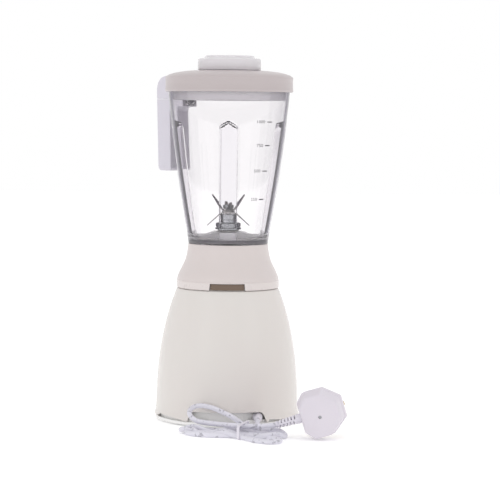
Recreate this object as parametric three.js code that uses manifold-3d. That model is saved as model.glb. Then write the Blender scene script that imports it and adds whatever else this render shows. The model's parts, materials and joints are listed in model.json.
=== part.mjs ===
// A one-litre countertop blender: a bell-shaped motor base with a collar, a clear jar with its blade unit, a lid
// with a measuring cap, and a mains lead folded in front of the base.
// Millimetres, +Z up. The drive axis is the Z axis and the standing surface is z = 0.
// The cord leaves the base on its -Y side, and the speed knob is on its +Y side.
import * as THREE from 'three';
import { mergeVertices } from 'three/addons/utils/BufferGeometryUtils.js';
import Module from 'manifold-3d';

const wasm = await Module();
wasm.setup();

// ---------- driving dimensions ----------
const GAP = 0.3; // clearance between touching pieces
const RUN = 0.1; // radial running clearance of a shaft
const ROUND = 28; // sides of the big turned shells
const FINE = 14; // sides of smaller turned pieces
const MEDIUM = 16; // sides of shafts, bearings and knobs
const SMALL = 8; // sides of screws and pins
const DEGREE = Math.PI / 180;

// base plate and feet
const PLATE_BOTTOM = 1.5;
const PLATE_TOP = 5.0;
const PLATE_RADIUS = 74.6;
const FOOT_RADIUS = 7.5;
const FOOT_CIRCLE = 60;
const FOOT_START = 45; // angle of the first foot
const FOOT_TOP = 3.1;
const SCREW_CIRCLE = 52;
const SCREW_ANGLES = [90, 210, 330];
const SCREW_RADIUS = 1.7;
const SCREW_HEAD_RADIUS = 3.4;
const POST_BOTTOM = 14.5;
const POST_TOP = 34;
const UPSTAND_TOP = 11;
const UPSTAND_INNER = 69.4;
const UPSTAND_OUTER = 71.6;

// bell-shaped housing
const SKIRT_Z = 6.5;
const BODY_TOP = 137.5;
const BODY_RADIUS = 73.9;
const BODY_TAPER = 21.1;
const BODY_POWER = 2.6;
const LIP_FLARE = 1.5;
const LIP_HEIGHT = 9;
const BODY_WALL = 2.6;
const SPIGOT_RADIUS = 49.6;
const SPIGOT_TOP = 143;

// arch in the skirt where the cord comes out, with a wall behind it
const ARCH_CENTRE = 1;
const ARCH_HALF_BOTTOM = 44;
const ARCH_HALF_TOP = 36;
const ARCH_TOP = 16.2;
const ARCH_WALL_INNER = 64.2;
const ARCH_WALL_OUTER = 66.4;
const ARCH_WALL_TOP = 19;

// neck
const NECK_BOTTOM = 138;
const NECK_TOP = 183.5;
const NECK_FLOOR = 173.5;
const NECK_FLOOR_UNDER = 170.5;
const NECK_RECESS = 38.2;
const NECK_HOLE = 9.5;
const NOTCH_TOP = 145;
const NOTCH_HALF_TOP = 17.6;
const NOTCH_HALF_BOTTOM = 18.6;
const KEY_COUNT = 4;
const KEY_WIDTH = 5;

// motor
const MOTOR_SHAFT_RADIUS = 4;
const MOTOR_SHAFT_BOTTOM = 70;
const MOTOR_SHAFT_TOP = 180;
const STACK_BOTTOM = 118;
const STACK_TOP = 146;
const STATOR_WIDTH = 64;
const STATOR_DEPTH = 58;
const STATOR_BORE = 15.7;
const WINDOW_HALF_WIDTH = 25;
const WINDOW_HALF_DEPTH = 22;
const POLE_HALF_WIDTH = 13;
const BOLT_X = 27.5;
const BOLT_Y = 24;
const BOLT_RADIUS = 1.8;
const UPPER_BRACKET_Z = 156;
const LOWER_BRACKET_Z = 90;
const BRACKET_THICKNESS = 3;
const BEARING_RADIUS = 8;
const BEARING_HEIGHT = 9;
const ARMATURE_RADIUS = 15;
const ARMATURE_SLOTS = 12;
const COMMUTATOR_RADIUS = 9;
const COMMUTATOR_BOTTOM = 98;
const COMMUTATOR_TOP = 109;
const FAN_TOP = 84;
const FAN_RADIUS = 27;
const FAN_BLADES = 9;

// drive coupling on the base and its mate under the jar
const COUPLING_BOTTOM = 177;
const COUPLING_TOP = 187;
const COUPLING_RADIUS = 14;
const SOCKET_BOTTOM = 180.5;
const STAR_LOBES = 6;
const STAR_OUTER = 10.4;
const STAR_INNER = 7.8;

// rotary switch and knob on the +Y side
const KNOB_Z = 48;
const DIAL_RADIUS = 21;
const DIAL_BACK = 69.6;
const DIAL_FACE = 74.2;
const KNOB_RADIUS = 15.5;
const KNOB_BACK = 74.8;
const KNOB_FACE = 90;
const SWITCH_SHAFT_RADIUS = 2.8;

// jar
const JAR_BOTTOM = 184;
const JAR_BOTTOM_RADIUS = 41.6;
const JAR_FOOT_Z = 188;
const JAR_FOOT_RADIUS = 42;
const JAR_SHOULDER_Z = 341;
const JAR_TOP = 354.8;
const JAR_RADIUS = 63.2;
const JAR_BULGE_RADIUS = 55.8;
const JAR_BULGE_Z = 264.5;
const JAR_WALL = 3;
const SPIGOT_OUTER = 37.6;
const SPIGOT_INNER = 34.6;
const SPIGOT_BOTTOM = 174.2;
const JAR_FLOOR_EDGE_RADIUS = 34;
const JAR_FLOOR_EDGE = 188.5;
const JAR_FLOOR_CENTRE_RADIUS = 16;
const JAR_FLOOR_CENTRE = 196.6;
const JAR_FLOOR_THICKNESS = 3.3;
const JAR_HOLE = 5.4;
const RIB_WIDTH = 17;
const RIB_TOP = 311;
const RIB_SHOULDER = 305;
const RIB_DEEP_TOP = 8;
const RIB_DEEP_BOTTOM = 5.5;

// jar handle, in the upright plane that holds the jar's axis
const HANDLE_ANGLE = 133;
const HANDLE_WIDTH = 22;
const HANDLE_OUTER = 104;
const HANDLE_INNER = 82;
const HANDLE_BOTTOM = 257;
const HANDLE_TOP = 358;
const LUG_Z = 332.5;
const LUG_RADIUS = 7.2;
const LUG_END = 65.2;

// lid and measuring cap
const LID_BOTTOM = 340.5;
const LID_RADIUS = 66.2;
const LID_RIM_TOP = 355.8;
const LID_HOLE = 27.5;
const LID_TOP = 362.6;
const CAP_RADIUS = 32.8;
const CAP_TOP = 378;
const CUP_BOTTOM = 340;

// blade unit
const BLADE_SHAFT_RADIUS = 3;
const BUSH_RADIUS = 5;
const BUSH_COLLAR_RADIUS = 7.8;
const BLADE_THICKNESS = 1.3;
const HUB_RADIUS = 6.5;

// mains cord, hank and plug
const CORD_RADIUS = 2.5;
const GLAND_X = 32;
const GLAND_Z = 10.5;
const GLAND_FACE = -61.3;
const GLAND_END = -83;
const HANK_CENTRE = [9.5, -119.5];
const HANK_ANGLE = -15;
const HANK_LENGTH = 110;
const HANK_WIDTH = 36;
const HANK_BOTTOM = 0.3;
const HANK_TOP = 8;
const TAIL_START = [14, -139];
const TAIL_END = [46, -159.5];
const TAIL_RADIUS = 14.5;
const TAIL_TOP = 5.6;
const PLUG_CENTRE = [94.3, -135, 26.8];
const PLUG_YAW = 12;
const PLUG_ROLL = 17.5;
const PLUG_HALF_LENGTH = 22;
const PLUG_HALF_WIDTH = 23.5;
const PLUG_THICKNESS = 22;
const PLUG_RELIEF_LENGTH = 25;

// Routes of the loose stretches of the cord, from the base outwards.
const EXIT_ROUTE = [
  [32, -83.6, 10.5], [32, -88, 10.1], [31.8, -92.8, 7.9], [31, -97, 5.2], [29.9, -101, 3.4], [28.6, -104.2, 2.9],
];
const LOOP_ROUTE = [
  [23.2, -101, 4.9], [18.6, -97.8, 7.6], [13.9, -94.6, 10.6], [6.5, -88.6, 14.6], [-4.7, -80.6, 18.8],
  [-15, -76.2, 22.4], [-24.9, -74, 24], [-33, -76.2, 22.8], [-37, -84, 19.2], [-35.2, -92.4, 15],
  [-29.2, -98.8, 11.8], [-22.6, -102.6, 11.1],
];
const LEAD_ROUTE = [
  [49.1, -125.5, 12.5], [40, -124, 11.6], [29, -122.2, 11], [18, -120.6, 10.9],
];

// ---------- solids ----------

// A closed geometry as a solid that can be joined and cut.
function toSolid(geometry) {
  const bare = new THREE.BufferGeometry();
  bare.setAttribute('position', geometry.getAttribute('position'));
  bare.setIndex(geometry.getIndex());
  const merged = mergeVertices(bare, 1e-4);
  return new wasm.Manifold(new wasm.Mesh({
    numProp: 3,
    vertProperties: merged.getAttribute('position').array,
    triVerts: new Uint32Array(merged.getIndex().array),
  }));
}

function toGeometry(solid) {
  const mesh = solid.getMesh();
  const geometry = new THREE.BufferGeometry();
  geometry.setAttribute('position', new THREE.BufferAttribute(new Float32Array(mesh.vertProperties), 3));
  geometry.setIndex(new THREE.BufferAttribute(new Uint32Array(mesh.triVerts), 1));
  geometry.computeVertexNormals();
  return geometry;
}

// Turns a profile of [radius, height] points, listed up the outside, about the Z axis.
function turned(points, sides = ROUND) {
  const profile = points.map(([radius, height]) => new THREE.Vector2(radius, height));
  const geometry = new THREE.LatheGeometry(profile, sides);
  geometry.rotateX(Math.PI / 2);
  return geometry;
}

// The same for a profile that stays off the axis and closes on itself.
function turnedRing(points, sides = ROUND) {
  return turned([...points, points[0]], sides);
}

// A plain ring with its foot at the given height.
function ring(inner, outer, bottom, top, sides = FINE) {
  return turnedRing([[outer, bottom], [outer, top], [inner, top], [inner, bottom]], sides);
}

// An upright cylinder or cone.
function disc(radius, bottom, top, sides = FINE, topRadius = radius) {
  const geometry = new THREE.CylinderGeometry(topRadius, radius, top - bottom, sides);
  geometry.rotateX(Math.PI / 2);
  geometry.translate(0, 0, (bottom + top) / 2);
  return geometry;
}

// A box given by its lowest and highest corners.
function block(low, high) {
  const size = high.map((value, axis) => value - low[axis]);
  const geometry = new THREE.BoxGeometry(...size);
  geometry.translate(...high.map((value, axis) => (value + low[axis]) / 2));
  return geometry;
}

function outline(points) {
  return new THREE.Shape(points.map(([x, y]) => new THREE.Vector2(x, y)));
}

// A flat outline pushed up from one height to another.
function prism(shape, bottom, top, curveSegments = 6) {
  const geometry = new THREE.ExtrudeGeometry(shape, { depth: top - bottom, bevelEnabled: false, curveSegments });
  geometry.translate(0, 0, bottom);
  return geometry;
}

// An outline drawn in X and Z, reaching from one Y to another.
function uprightPrism(shape, fromY, toY, curveSegments = 6) {
  const geometry = prism(shape, -toY, -fromY, curveSegments);
  geometry.rotateX(Math.PI / 2);
  return geometry;
}

function moved(geometry, x, y, z) {
  geometry.translate(x, y, z);
  return geometry;
}

// Lays an upright geometry down so that its +Z points along +Y.
function alongY(geometry) {
  geometry.rotateX(-Math.PI / 2);
  return geometry;
}

function roundedRectangle(halfWidth, halfDepth, corner) {
  const shape = new THREE.Shape();
  shape.absarc(halfWidth - corner, halfDepth - corner, corner, 0, Math.PI / 2);
  shape.absarc(corner - halfWidth, halfDepth - corner, corner, Math.PI / 2, Math.PI);
  shape.absarc(corner - halfWidth, corner - halfDepth, corner, Math.PI, 1.5 * Math.PI);
  shape.absarc(halfWidth - corner, corner - halfDepth, corner, 1.5 * Math.PI, 2 * Math.PI);
  return shape;
}

// A star of lobes and hollows, each as wide as the other.
function star(outer, inner, lobes) {
  const points = [];
  for (let i = 0; i < lobes * 4; i += 1) {
    const radius = i % 4 < 2 ? outer : inner;
    const angle = (i / (lobes * 4)) * 2 * Math.PI;
    points.push([radius * Math.cos(angle), radius * Math.sin(angle)]);
  }
  return outline(points);
}

function repeatAround(count, makeSolid) {
  const solids = [];
  for (let i = 0; i < count; i += 1) {
    solids.push(makeSolid((i / count) * 2 * Math.PI));
  }
  return solids;
}

function joined(first, ...others) {
  return others.reduce((whole, part) => whole.add(part), first);
}

function cutBy(first, ...others) {
  return others.reduce((whole, part) => whole.subtract(part), first);
}

function turnedBy(geometry, angle) {
  geometry.rotateZ(angle);
  return geometry;
}

// ---------- materials ----------

function plastic(color, roughness = 0.35) {
  return new THREE.MeshStandardMaterial({ color, roughness, metalness: 0 });
}

function metal(color, roughness = 0.35) {
  return new THREE.MeshStandardMaterial({ color, roughness, metalness: 1 });
}

function clear(color) {
  return new THREE.MeshStandardMaterial({ color, roughness: 0.05, metalness: 0, transparent: true, opacity: 0.35 });
}

const CREAM = 0xe9e3dd;
const CREAM_BAND = 0xefe8e2;
const WHITE = 0xf1eeec;
const MILKY = 0xdedcde;
const TAN = 0x9a8069;
const RUBBER_GREY = 0x4a4a4c;
const RUBBER_WHITE = 0xd8d6d4;
const BLACK = 0x1d1d1f;
const STEEL = 0x8d9096;
const DARK_STEEL = 0x4b4c52;
const BRASS = 0xb9975a;
const COPPER = 0xb4683a;
const CARBON = 0x2b2b2d;
const CORD_WHITE = 0xd6d4dc;
const CLEAR_TINT = 0xe6e2ee;

function piece(name, shape, material) {
  const geometry = shape.isBufferGeometry ? shape : toGeometry(shape);
  const mesh = new THREE.Mesh(geometry, material);
  mesh.name = name;
  return mesh;
}

// ---------- base ----------

// Outer radius of the bell at a height, with a small flare at its foot.
function bodyRadius(z) {
  const taper = BODY_TAPER * (z / BODY_TOP) ** BODY_POWER;
  const flare = LIP_FLARE * Math.max(0, 1 - (z - SKIRT_Z) / LIP_HEIGHT) ** 2;
  return BODY_RADIUS - taper + flare;
}

function bodyLevels(from, to, steps) {
  const levels = [];
  for (let i = 0; i <= steps; i += 1) {
    levels.push(from + ((to - from) * i) / steps);
  }
  return levels;
}

function archShape() {
  const corner = 4;
  const left = ARCH_CENTRE - ARCH_HALF_TOP;
  const right = ARCH_CENTRE + ARCH_HALF_TOP;
  const shape = new THREE.Shape();
  shape.moveTo(ARCH_CENTRE - ARCH_HALF_BOTTOM, 0);
  shape.lineTo(ARCH_CENTRE + ARCH_HALF_BOTTOM, 0);
  shape.lineTo(right + corner / 2, ARCH_TOP - corner);
  shape.quadraticCurveTo(right, ARCH_TOP, right - corner, ARCH_TOP);
  shape.lineTo(left + corner, ARCH_TOP);
  shape.quadraticCurveTo(left, ARCH_TOP, left - corner / 2, ARCH_TOP - corner);
  return shape;
}

function archCutter(backY) {
  return toSolid(uprightPrism(archShape(), -BODY_RADIUS - 10, backY));
}

// A post for a base screw, tied to the skirt by a web.
function screwPost(angle) {
  const x = SCREW_CIRCLE * Math.cos(angle);
  const y = SCREW_CIRCLE * Math.sin(angle);
  const reach = bodyRadius(POST_TOP) - BODY_WALL / 2;
  const web = turnedBy(block([SCREW_CIRCLE, -1, POST_BOTTOM], [reach, 1, POST_TOP]), angle);
  const post = moved(disc(4.5, POST_BOTTOM, POST_TOP, SMALL), x, y, 0);
  return toSolid(post).add(toSolid(web));
}

function screwHole(angle, radius, bottom, top) {
  const x = SCREW_CIRCLE * Math.cos(angle);
  const y = SCREW_CIRCLE * Math.sin(angle);
  return toSolid(moved(disc(radius, bottom, top, SMALL), x, y, 0));
}

function bodyHousing() {
  const outer = [
    ...bodyLevels(SKIRT_Z, SKIRT_Z + LIP_HEIGHT, 2),
    ...bodyLevels(SKIRT_Z + LIP_HEIGHT, BODY_TOP, 8).slice(1),
  ].map((z) => [bodyRadius(z), z]);
  const inner = bodyLevels(BODY_TOP - BODY_WALL, SKIRT_Z, 5)
    .map((z) => [Math.min(bodyRadius(z) - BODY_WALL, BODY_RADIUS - BODY_WALL + 0.6), z]);
  const spigotInner = SPIGOT_RADIUS - 2.3;
  const shell = toSolid(turnedRing([
    ...outer,
    [SPIGOT_RADIUS, BODY_TOP],
    [SPIGOT_RADIUS, SPIGOT_TOP],
    [spigotInner, SPIGOT_TOP],
    [spigotInner, BODY_TOP - BODY_WALL],
    ...inner,
  ]));
  const angles = SCREW_ANGLES.map((angle) => angle * DEGREE);
  const posts = angles.map((angle) => screwPost(angle));
  const pilots = angles.map((angle) => screwHole(angle, SCREW_RADIUS + GAP, POST_BOTTOM - 1, POST_TOP - 4));
  const dialHole = toSolid(moved(alongY(disc(DIAL_RADIUS + GAP, 60, 80, MEDIUM)), 0, 0, KNOB_Z));
  return cutBy(joined(shell, ...posts), ...pilots, dialHole, archCutter(-ARCH_WALL_OUTER * 0.6));
}

// Moves a geometry to the foot at an angle from the first foot.
function atFoot(geometry, angle) {
  const place = angle + FOOT_START * DEGREE;
  return moved(geometry, FOOT_CIRCLE * Math.cos(place), FOOT_CIRCLE * Math.sin(place), 0);
}

function ventSlot(angle) {
  return toSolid(turnedBy(block([24, -1.8, PLATE_BOTTOM - 1], [44, 1.8, PLATE_TOP + 1]), angle));
}

function basePlate() {
  const floor = toSolid(turned([
    [0, PLATE_BOTTOM], [PLATE_RADIUS - 1.2, PLATE_BOTTOM], [PLATE_RADIUS, PLATE_BOTTOM + 1.2],
    [PLATE_RADIUS, PLATE_TOP], [0, PLATE_TOP],
  ]));
  const upstand = toSolid(ring(UPSTAND_INNER, UPSTAND_OUTER, PLATE_TOP - 1, UPSTAND_TOP, ROUND))
    .subtract(toSolid(moved(uprightPrism(archShape(), -BODY_RADIUS - 10, -30), 0, 0, PLATE_TOP)));
  const wallBox = block([ARCH_CENTRE - ARCH_HALF_BOTTOM, -80, PLATE_TOP - 1],
    [ARCH_CENTRE + ARCH_HALF_BOTTOM, -30, ARCH_WALL_TOP]);
  const archWall = toSolid(ring(ARCH_WALL_INNER, ARCH_WALL_OUTER, PLATE_TOP - 1, ARCH_WALL_TOP, ROUND))
    .intersect(toSolid(wallBox));
  const angles = SCREW_ANGLES.map((angle) => angle * DEGREE);
  const bosses = angles.map((angle) => screwHole(angle, 5.6, PLATE_TOP - 1, POST_BOTTOM - GAP));
  const sinks = angles.map((angle) => screwHole(angle, SCREW_HEAD_RADIUS + GAP, PLATE_BOTTOM - 1, 9));
  const holes = angles.map((angle) => screwHole(angle, SCREW_RADIUS + GAP, 8, POST_BOTTOM + 1));
  const footSeats = repeatAround(4, (angle) => toSolid(atFoot(
    disc(FOOT_RADIUS + GAP, PLATE_BOTTOM - 1, FOOT_TOP + GAP, FINE), angle,
  )));
  const vents = repeatAround(8, (angle) => ventSlot(angle + Math.PI / 8));
  const glandHole = toSolid(moved(alongY(disc(3.8, -70, -50, SMALL)), GLAND_X, 0, GLAND_Z));
  return cutBy(joined(floor, upstand, archWall, ...bosses), ...sinks, ...holes, ...footSeats, ...vents, glandHole);
}

function foot(index) {
  const geometry = turned([
    [0, 0], [FOOT_RADIUS - 1, 0], [FOOT_RADIUS, 1], [FOOT_RADIUS, FOOT_TOP], [0, FOOT_TOP],
  ], FINE);
  return atFoot(geometry, (index / 4) * 2 * Math.PI);
}

// A screw that stands on its head at the given height.
function screw(headRadius, headHeight, shankRadius, bottom, top) {
  return turned([
    [0, bottom], [headRadius - 0.6, bottom], [headRadius, bottom + 0.6], [headRadius, bottom + headHeight],
    [shankRadius, bottom + headHeight], [shankRadius, top - 1], [0, top],
  ], SMALL);
}

function baseScrew(index) {
  const angle = SCREW_ANGLES[index] * DEGREE;
  return moved(
    screw(SCREW_HEAD_RADIUS, 2.2, SCREW_RADIUS, 6.5, POST_TOP - 5),
    SCREW_CIRCLE * Math.cos(angle), SCREW_CIRCLE * Math.sin(angle), 0,
  );
}

// ---------- neck ----------

function keyBlock(angle) {
  const half = KEY_WIDTH / 2;
  return toSolid(turnedBy(block([SPIGOT_INNER + 0.6, -half, NECK_FLOOR - 0.5], [NECK_RECESS + 1, half, 181]), angle));
}

function neckHousing() {
  const shell = toSolid(turnedRing([
    [53.3, NECK_BOTTOM], [53.2, 146], [51.4, 151.8], [48.4, 158], [45.4, 164.3], [43.3, 171], [42, 177],
    [JAR_BOTTOM_RADIUS, NECK_TOP - 0.6], [JAR_BOTTOM_RADIUS - 0.5, NECK_TOP],
    [NECK_RECESS, NECK_TOP], [NECK_RECESS, NECK_FLOOR], [NECK_HOLE, NECK_FLOOR], [NECK_HOLE, NECK_FLOOR_UNDER],
    [40.4, NECK_FLOOR_UNDER], [42.8, 164.3], [45.9, 158], [48.8, 151.8], [50.4, 146], [50.4, NECK_BOTTOM],
  ]));
  const notch = uprightPrism(outline([
    [-NOTCH_HALF_BOTTOM, NECK_BOTTOM - 1], [NOTCH_HALF_BOTTOM, NECK_BOTTOM - 1],
    [NOTCH_HALF_TOP, NOTCH_TOP], [-NOTCH_HALF_TOP, NOTCH_TOP],
  ]), -60, -40);
  const keys = repeatAround(KEY_COUNT, (angle) => keyBlock(angle + Math.PI / 4));
  return joined(shell, ...keys).subtract(toSolid(notch));
}

// The panel that closes the notch in the neck's band.
function notchPanel() {
  const arc = toSolid(ring(SPIGOT_RADIUS + GAP, 51.9, NECK_BOTTOM + 0.5, NOTCH_TOP - 0.5, ROUND));
  const front = block([-NOTCH_HALF_TOP + 0.5, -60, NECK_BOTTOM], [NOTCH_HALF_TOP - 0.5, -40, NOTCH_TOP]);
  return arc.intersect(toSolid(front));
}

// ---------- motor ----------

function motorStator() {
  const yoke = toSolid(prism(roundedRectangle(STATOR_WIDTH / 2, STATOR_DEPTH / 2, 7), STACK_BOTTOM, STACK_TOP));
  const window = block([-WINDOW_HALF_WIDTH, -WINDOW_HALF_DEPTH, STACK_BOTTOM - 1],
    [WINDOW_HALF_WIDTH, WINDOW_HALF_DEPTH, STACK_TOP + 1]);
  const poles = block([-POLE_HALF_WIDTH, -WINDOW_HALF_DEPTH - 1, STACK_BOTTOM],
    [POLE_HALF_WIDTH, WINDOW_HALF_DEPTH + 1, STACK_TOP]);
  const bore = disc(STATOR_BORE, STACK_BOTTOM - 1, STACK_TOP + 1, FINE);
  const bolts = [1, -1].map((side) => toSolid(moved(
    disc(BOLT_RADIUS + GAP, STACK_BOTTOM - 1, STACK_TOP + 1, SMALL), side * BOLT_X, side * BOLT_Y, 0,
  )));
  const rim = yoke.subtract(toSolid(window));
  return cutBy(rim.add(toSolid(poles).subtract(toSolid(bore))), ...bolts);
}

// A coil wound round one pole.
function fieldCoil(side) {
  const low = Math.min(side * 13.4, side * 21.4);
  const high = Math.max(side * 13.4, side * 21.4);
  const outer = block([-WINDOW_HALF_WIDTH + 0.6, low, STACK_BOTTOM - 6], [WINDOW_HALF_WIDTH - 0.6, high, STACK_TOP + 6]);
  const hole = block([-POLE_HALF_WIDTH - GAP, low - 1, STACK_BOTTOM - GAP], [POLE_HALF_WIDTH + GAP, high + 1, STACK_TOP + GAP]);
  return toSolid(outer).subtract(toSolid(hole));
}

function motorBracket(bottom) {
  const plate = toSolid(prism(roundedRectangle(STATOR_WIDTH / 2, 14, 5), bottom, bottom + BRACKET_THICKNESS));
  const arm = outline([
    [8, 8], [BOLT_X - 6, BOLT_Y + 4], [BOLT_X + 4, BOLT_Y + 4], [BOLT_X + 4, BOLT_Y - 6], [18, -8],
    [-8, -8], [-BOLT_X + 6, -BOLT_Y - 4], [-BOLT_X - 4, -BOLT_Y - 4], [-BOLT_X - 4, -BOLT_Y + 6], [-18, 8],
  ].reverse());
  const arms = toSolid(prism(arm, bottom, bottom + BRACKET_THICKNESS));
  const hub = toSolid(disc(BEARING_RADIUS + 3, bottom - 3, bottom + 6, FINE));
  const seat = toSolid(disc(BEARING_RADIUS + GAP, bottom - 4, bottom + 7, FINE));
  const bolts = [1, -1].map((side) => toSolid(moved(
    disc(BOLT_RADIUS + GAP, bottom - 1, bottom + BRACKET_THICKNESS + 1, SMALL), side * BOLT_X, side * BOLT_Y, 0,
  )));
  return cutBy(joined(plate, arms, hub), seat, ...bolts);
}

function sleeveBearing(bottom) {
  return turnedRing([
    [BEARING_RADIUS - 0.6, bottom], [BEARING_RADIUS, bottom + 0.6], [BEARING_RADIUS, bottom + BEARING_HEIGHT - 0.6],
    [BEARING_RADIUS - 0.6, bottom + BEARING_HEIGHT], [MOTOR_SHAFT_RADIUS + RUN, bottom + BEARING_HEIGHT],
    [MOTOR_SHAFT_RADIUS + RUN, bottom],
  ], MEDIUM);
}

function motorBolt(side) {
  return moved(
    screw(3.2, 2.2, BOLT_RADIUS, LOWER_BRACKET_Z - 2.5, UPPER_BRACKET_Z + BRACKET_THICKNESS + 2),
    side * BOLT_X, side * BOLT_Y, 0,
  );
}

function motorShaft() {
  return turned([
    [0, MOTOR_SHAFT_BOTTOM], [MOTOR_SHAFT_RADIUS - 0.5, MOTOR_SHAFT_BOTTOM],
    [MOTOR_SHAFT_RADIUS, MOTOR_SHAFT_BOTTOM + 0.5], [MOTOR_SHAFT_RADIUS, MOTOR_SHAFT_TOP - 0.5],
    [MOTOR_SHAFT_RADIUS - 0.5, MOTOR_SHAFT_TOP], [0, MOTOR_SHAFT_TOP],
  ], MEDIUM);
}

// Radius of the hole of every piece that is pressed on the motor shaft.
const SHAFT_HOLE = MOTOR_SHAFT_RADIUS + RUN;

function armatureCore() {
  const core = toSolid(ring(SHAFT_HOLE, ARMATURE_RADIUS, STACK_BOTTOM, STACK_TOP, 24));
  const slots = repeatAround(ARMATURE_SLOTS, (angle) => toSolid(turnedBy(
    block([10.5, -0.9, STACK_BOTTOM - 1], [ARMATURE_RADIUS + 1, 0.9, STACK_TOP + 1]), angle + 0.13,
  )));
  return cutBy(core, ...slots);
}

function endWinding(bottom, top) {
  const middle = (bottom + top) / 2;
  return turnedRing([
    [11.5, bottom], [13.4, middle - 1.5], [13.4, middle + 1.5], [11.5, top], [6.5, top], [SHAFT_HOLE + 0.4, middle],
    [6.5, bottom],
  ], FINE);
}

function commutator() {
  const barrel = toSolid(ring(SHAFT_HOLE, COMMUTATOR_RADIUS, COMMUTATOR_BOTTOM, COMMUTATOR_TOP, FINE));
  const grooves = repeatAround(ARMATURE_SLOTS, (angle) => toSolid(turnedBy(
    block([8, -0.25, COMMUTATOR_BOTTOM - 1], [10, 0.25, COMMUTATOR_TOP - 1.5]), angle + 0.02,
  )));
  return cutBy(barrel, ...grooves);
}

function brushHolder(side) {
  const outer = block([11.5, -4.2, LOWER_BRACKET_Z + BRACKET_THICKNESS + GAP], [30, 4.2, 108.5]);
  const bore = block([9, -3, 100.5], [32, 3, 106.5]);
  return toSolid(turnedBy(outer, side > 0 ? 0 : Math.PI))
    .subtract(toSolid(turnedBy(bore, side > 0 ? 0 : Math.PI)));
}

function carbonBrush(side) {
  return turnedBy(block([COMMUTATOR_RADIUS + GAP, -2.7, 100.8], [24, 2.7, 106.2]), side > 0 ? 0 : Math.PI);
}

function coolingFan() {
  const plate = toSolid(ring(SHAFT_HOLE, FAN_RADIUS, FAN_TOP - 1.8, FAN_TOP, MEDIUM));
  const hub = toSolid(ring(SHAFT_HOLE, 8, FAN_TOP - 11, FAN_TOP, FINE));
  const blades = repeatAround(FAN_BLADES, (angle) => {
    const blade = block([7, -0.7, FAN_TOP - 10], [FAN_RADIUS - 0.5, 0.7, FAN_TOP - 1]);
    blade.rotateX(18 * DEGREE);
    blade.translate(0, 0.3 * (FAN_TOP - 5), 0.045 * FAN_TOP);
    return toSolid(turnedBy(blade, angle));
  });
  return joined(plate, hub, ...blades);
}

// ---------- drive coupling ----------

function driveCoupling() {
  const cup = toSolid(turned([
    [0, COUPLING_BOTTOM], [COUPLING_RADIUS - 1.5, COUPLING_BOTTOM], [COUPLING_RADIUS, COUPLING_BOTTOM + 1.5],
    [COUPLING_RADIUS, COUPLING_TOP - 0.8], [COUPLING_RADIUS - 0.8, COUPLING_TOP], [0, COUPLING_TOP],
  ], MEDIUM));
  const socket = toSolid(prism(star(STAR_OUTER + 0.5, STAR_INNER + 0.5, STAR_LOBES), SOCKET_BOTTOM, COUPLING_TOP + 1));
  const shaftHole = toSolid(disc(SHAFT_HOLE, COUPLING_BOTTOM - 1, MOTOR_SHAFT_TOP + GAP, MEDIUM));
  return cutBy(cup, socket, shaftHole);
}

function jarCoupling() {
  const teeth = toSolid(prism(star(STAR_OUTER, STAR_INNER, STAR_LOBES), SOCKET_BOTTOM + 0.7, COUPLING_TOP + 1));
  const flange = toSolid(disc(12.5, COUPLING_TOP + 0.6, COUPLING_TOP + 3.2, FINE));
  const hole = toSolid(disc(BLADE_SHAFT_RADIUS + RUN, SOCKET_BOTTOM + 2, COUPLING_TOP + 4, FINE));
  return joined(teeth, flange).subtract(hole);
}

// ---------- switch and knob ----------

function rotarySwitch() {
  const box = toSolid(block([-14, 50, KNOB_Z - 14], [14, 65, KNOB_Z + 14]));
  const collar = toSolid(moved(alongY(disc(6, 64, DIAL_BACK - GAP, FINE)), 0, 0, KNOB_Z));
  const bore = toSolid(moved(alongY(disc(SWITCH_SHAFT_RADIUS + RUN * 2, 57, 72, FINE)), 0, 0, KNOB_Z));
  return joined(box, collar).subtract(bore);
}

function switchShaft() {
  return moved(alongY(disc(SWITCH_SHAFT_RADIUS, 57.5, 83, FINE)), 0, 0, KNOB_Z);
}

function dialPlate() {
  const plate = toSolid(moved(alongY(turned([
    [0, DIAL_BACK], [DIAL_RADIUS, DIAL_BACK], [DIAL_RADIUS, DIAL_FACE - 0.8], [DIAL_RADIUS - 0.8, DIAL_FACE],
    [0, DIAL_FACE],
  ], MEDIUM)), 0, 0, KNOB_Z));
  const hole = toSolid(moved(alongY(disc(3.6, 60, 80, FINE)), 0, 0, KNOB_Z));
  return plate.subtract(hole);
}

function speedKnob() {
  const skirt = toSolid(alongY(turned([
    [0, KNOB_BACK], [KNOB_RADIUS, KNOB_BACK], [KNOB_RADIUS, KNOB_BACK + 3], [KNOB_RADIUS - 1.5, KNOB_BACK + 5],
    [0, KNOB_BACK + 5],
  ], MEDIUM)));
  const bar = toSolid(alongY(prism(roundedRectangle(4.2, KNOB_RADIUS - 1.8, 3.6), KNOB_BACK + 4, KNOB_FACE)));
  const bore = toSolid(alongY(disc(SWITCH_SHAFT_RADIUS + RUN, KNOB_BACK - 1, 83 + GAP, FINE)));
  const solid = skirt.add(bar).subtract(bore);
  return moved(toGeometry(solid), 0, 0, KNOB_Z);
}

// ---------- jar ----------

// Outer [radius, height] of the jar's wall along its flare.
function jarFlare(steps) {
  const curve = new THREE.QuadraticBezierCurve(
    new THREE.Vector2(JAR_FOOT_RADIUS, JAR_FOOT_Z),
    new THREE.Vector2(JAR_BULGE_RADIUS, JAR_BULGE_Z),
    new THREE.Vector2(JAR_RADIUS, JAR_SHOULDER_Z),
  );
  return curve.getPoints(steps).map((point) => [point.x, point.y]);
}

// Outer radius of the jar's flare at a height.
function jarRadius(z) {
  const flare = jarFlare(40);
  const above = Math.max(1, flare.findIndex((point) => point[1] >= z));
  const [low, high] = [flare[above - 1], flare[above]];
  return low[0] + ((high[0] - low[0]) * (z - low[1])) / (high[1] - low[1]);
}

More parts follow.
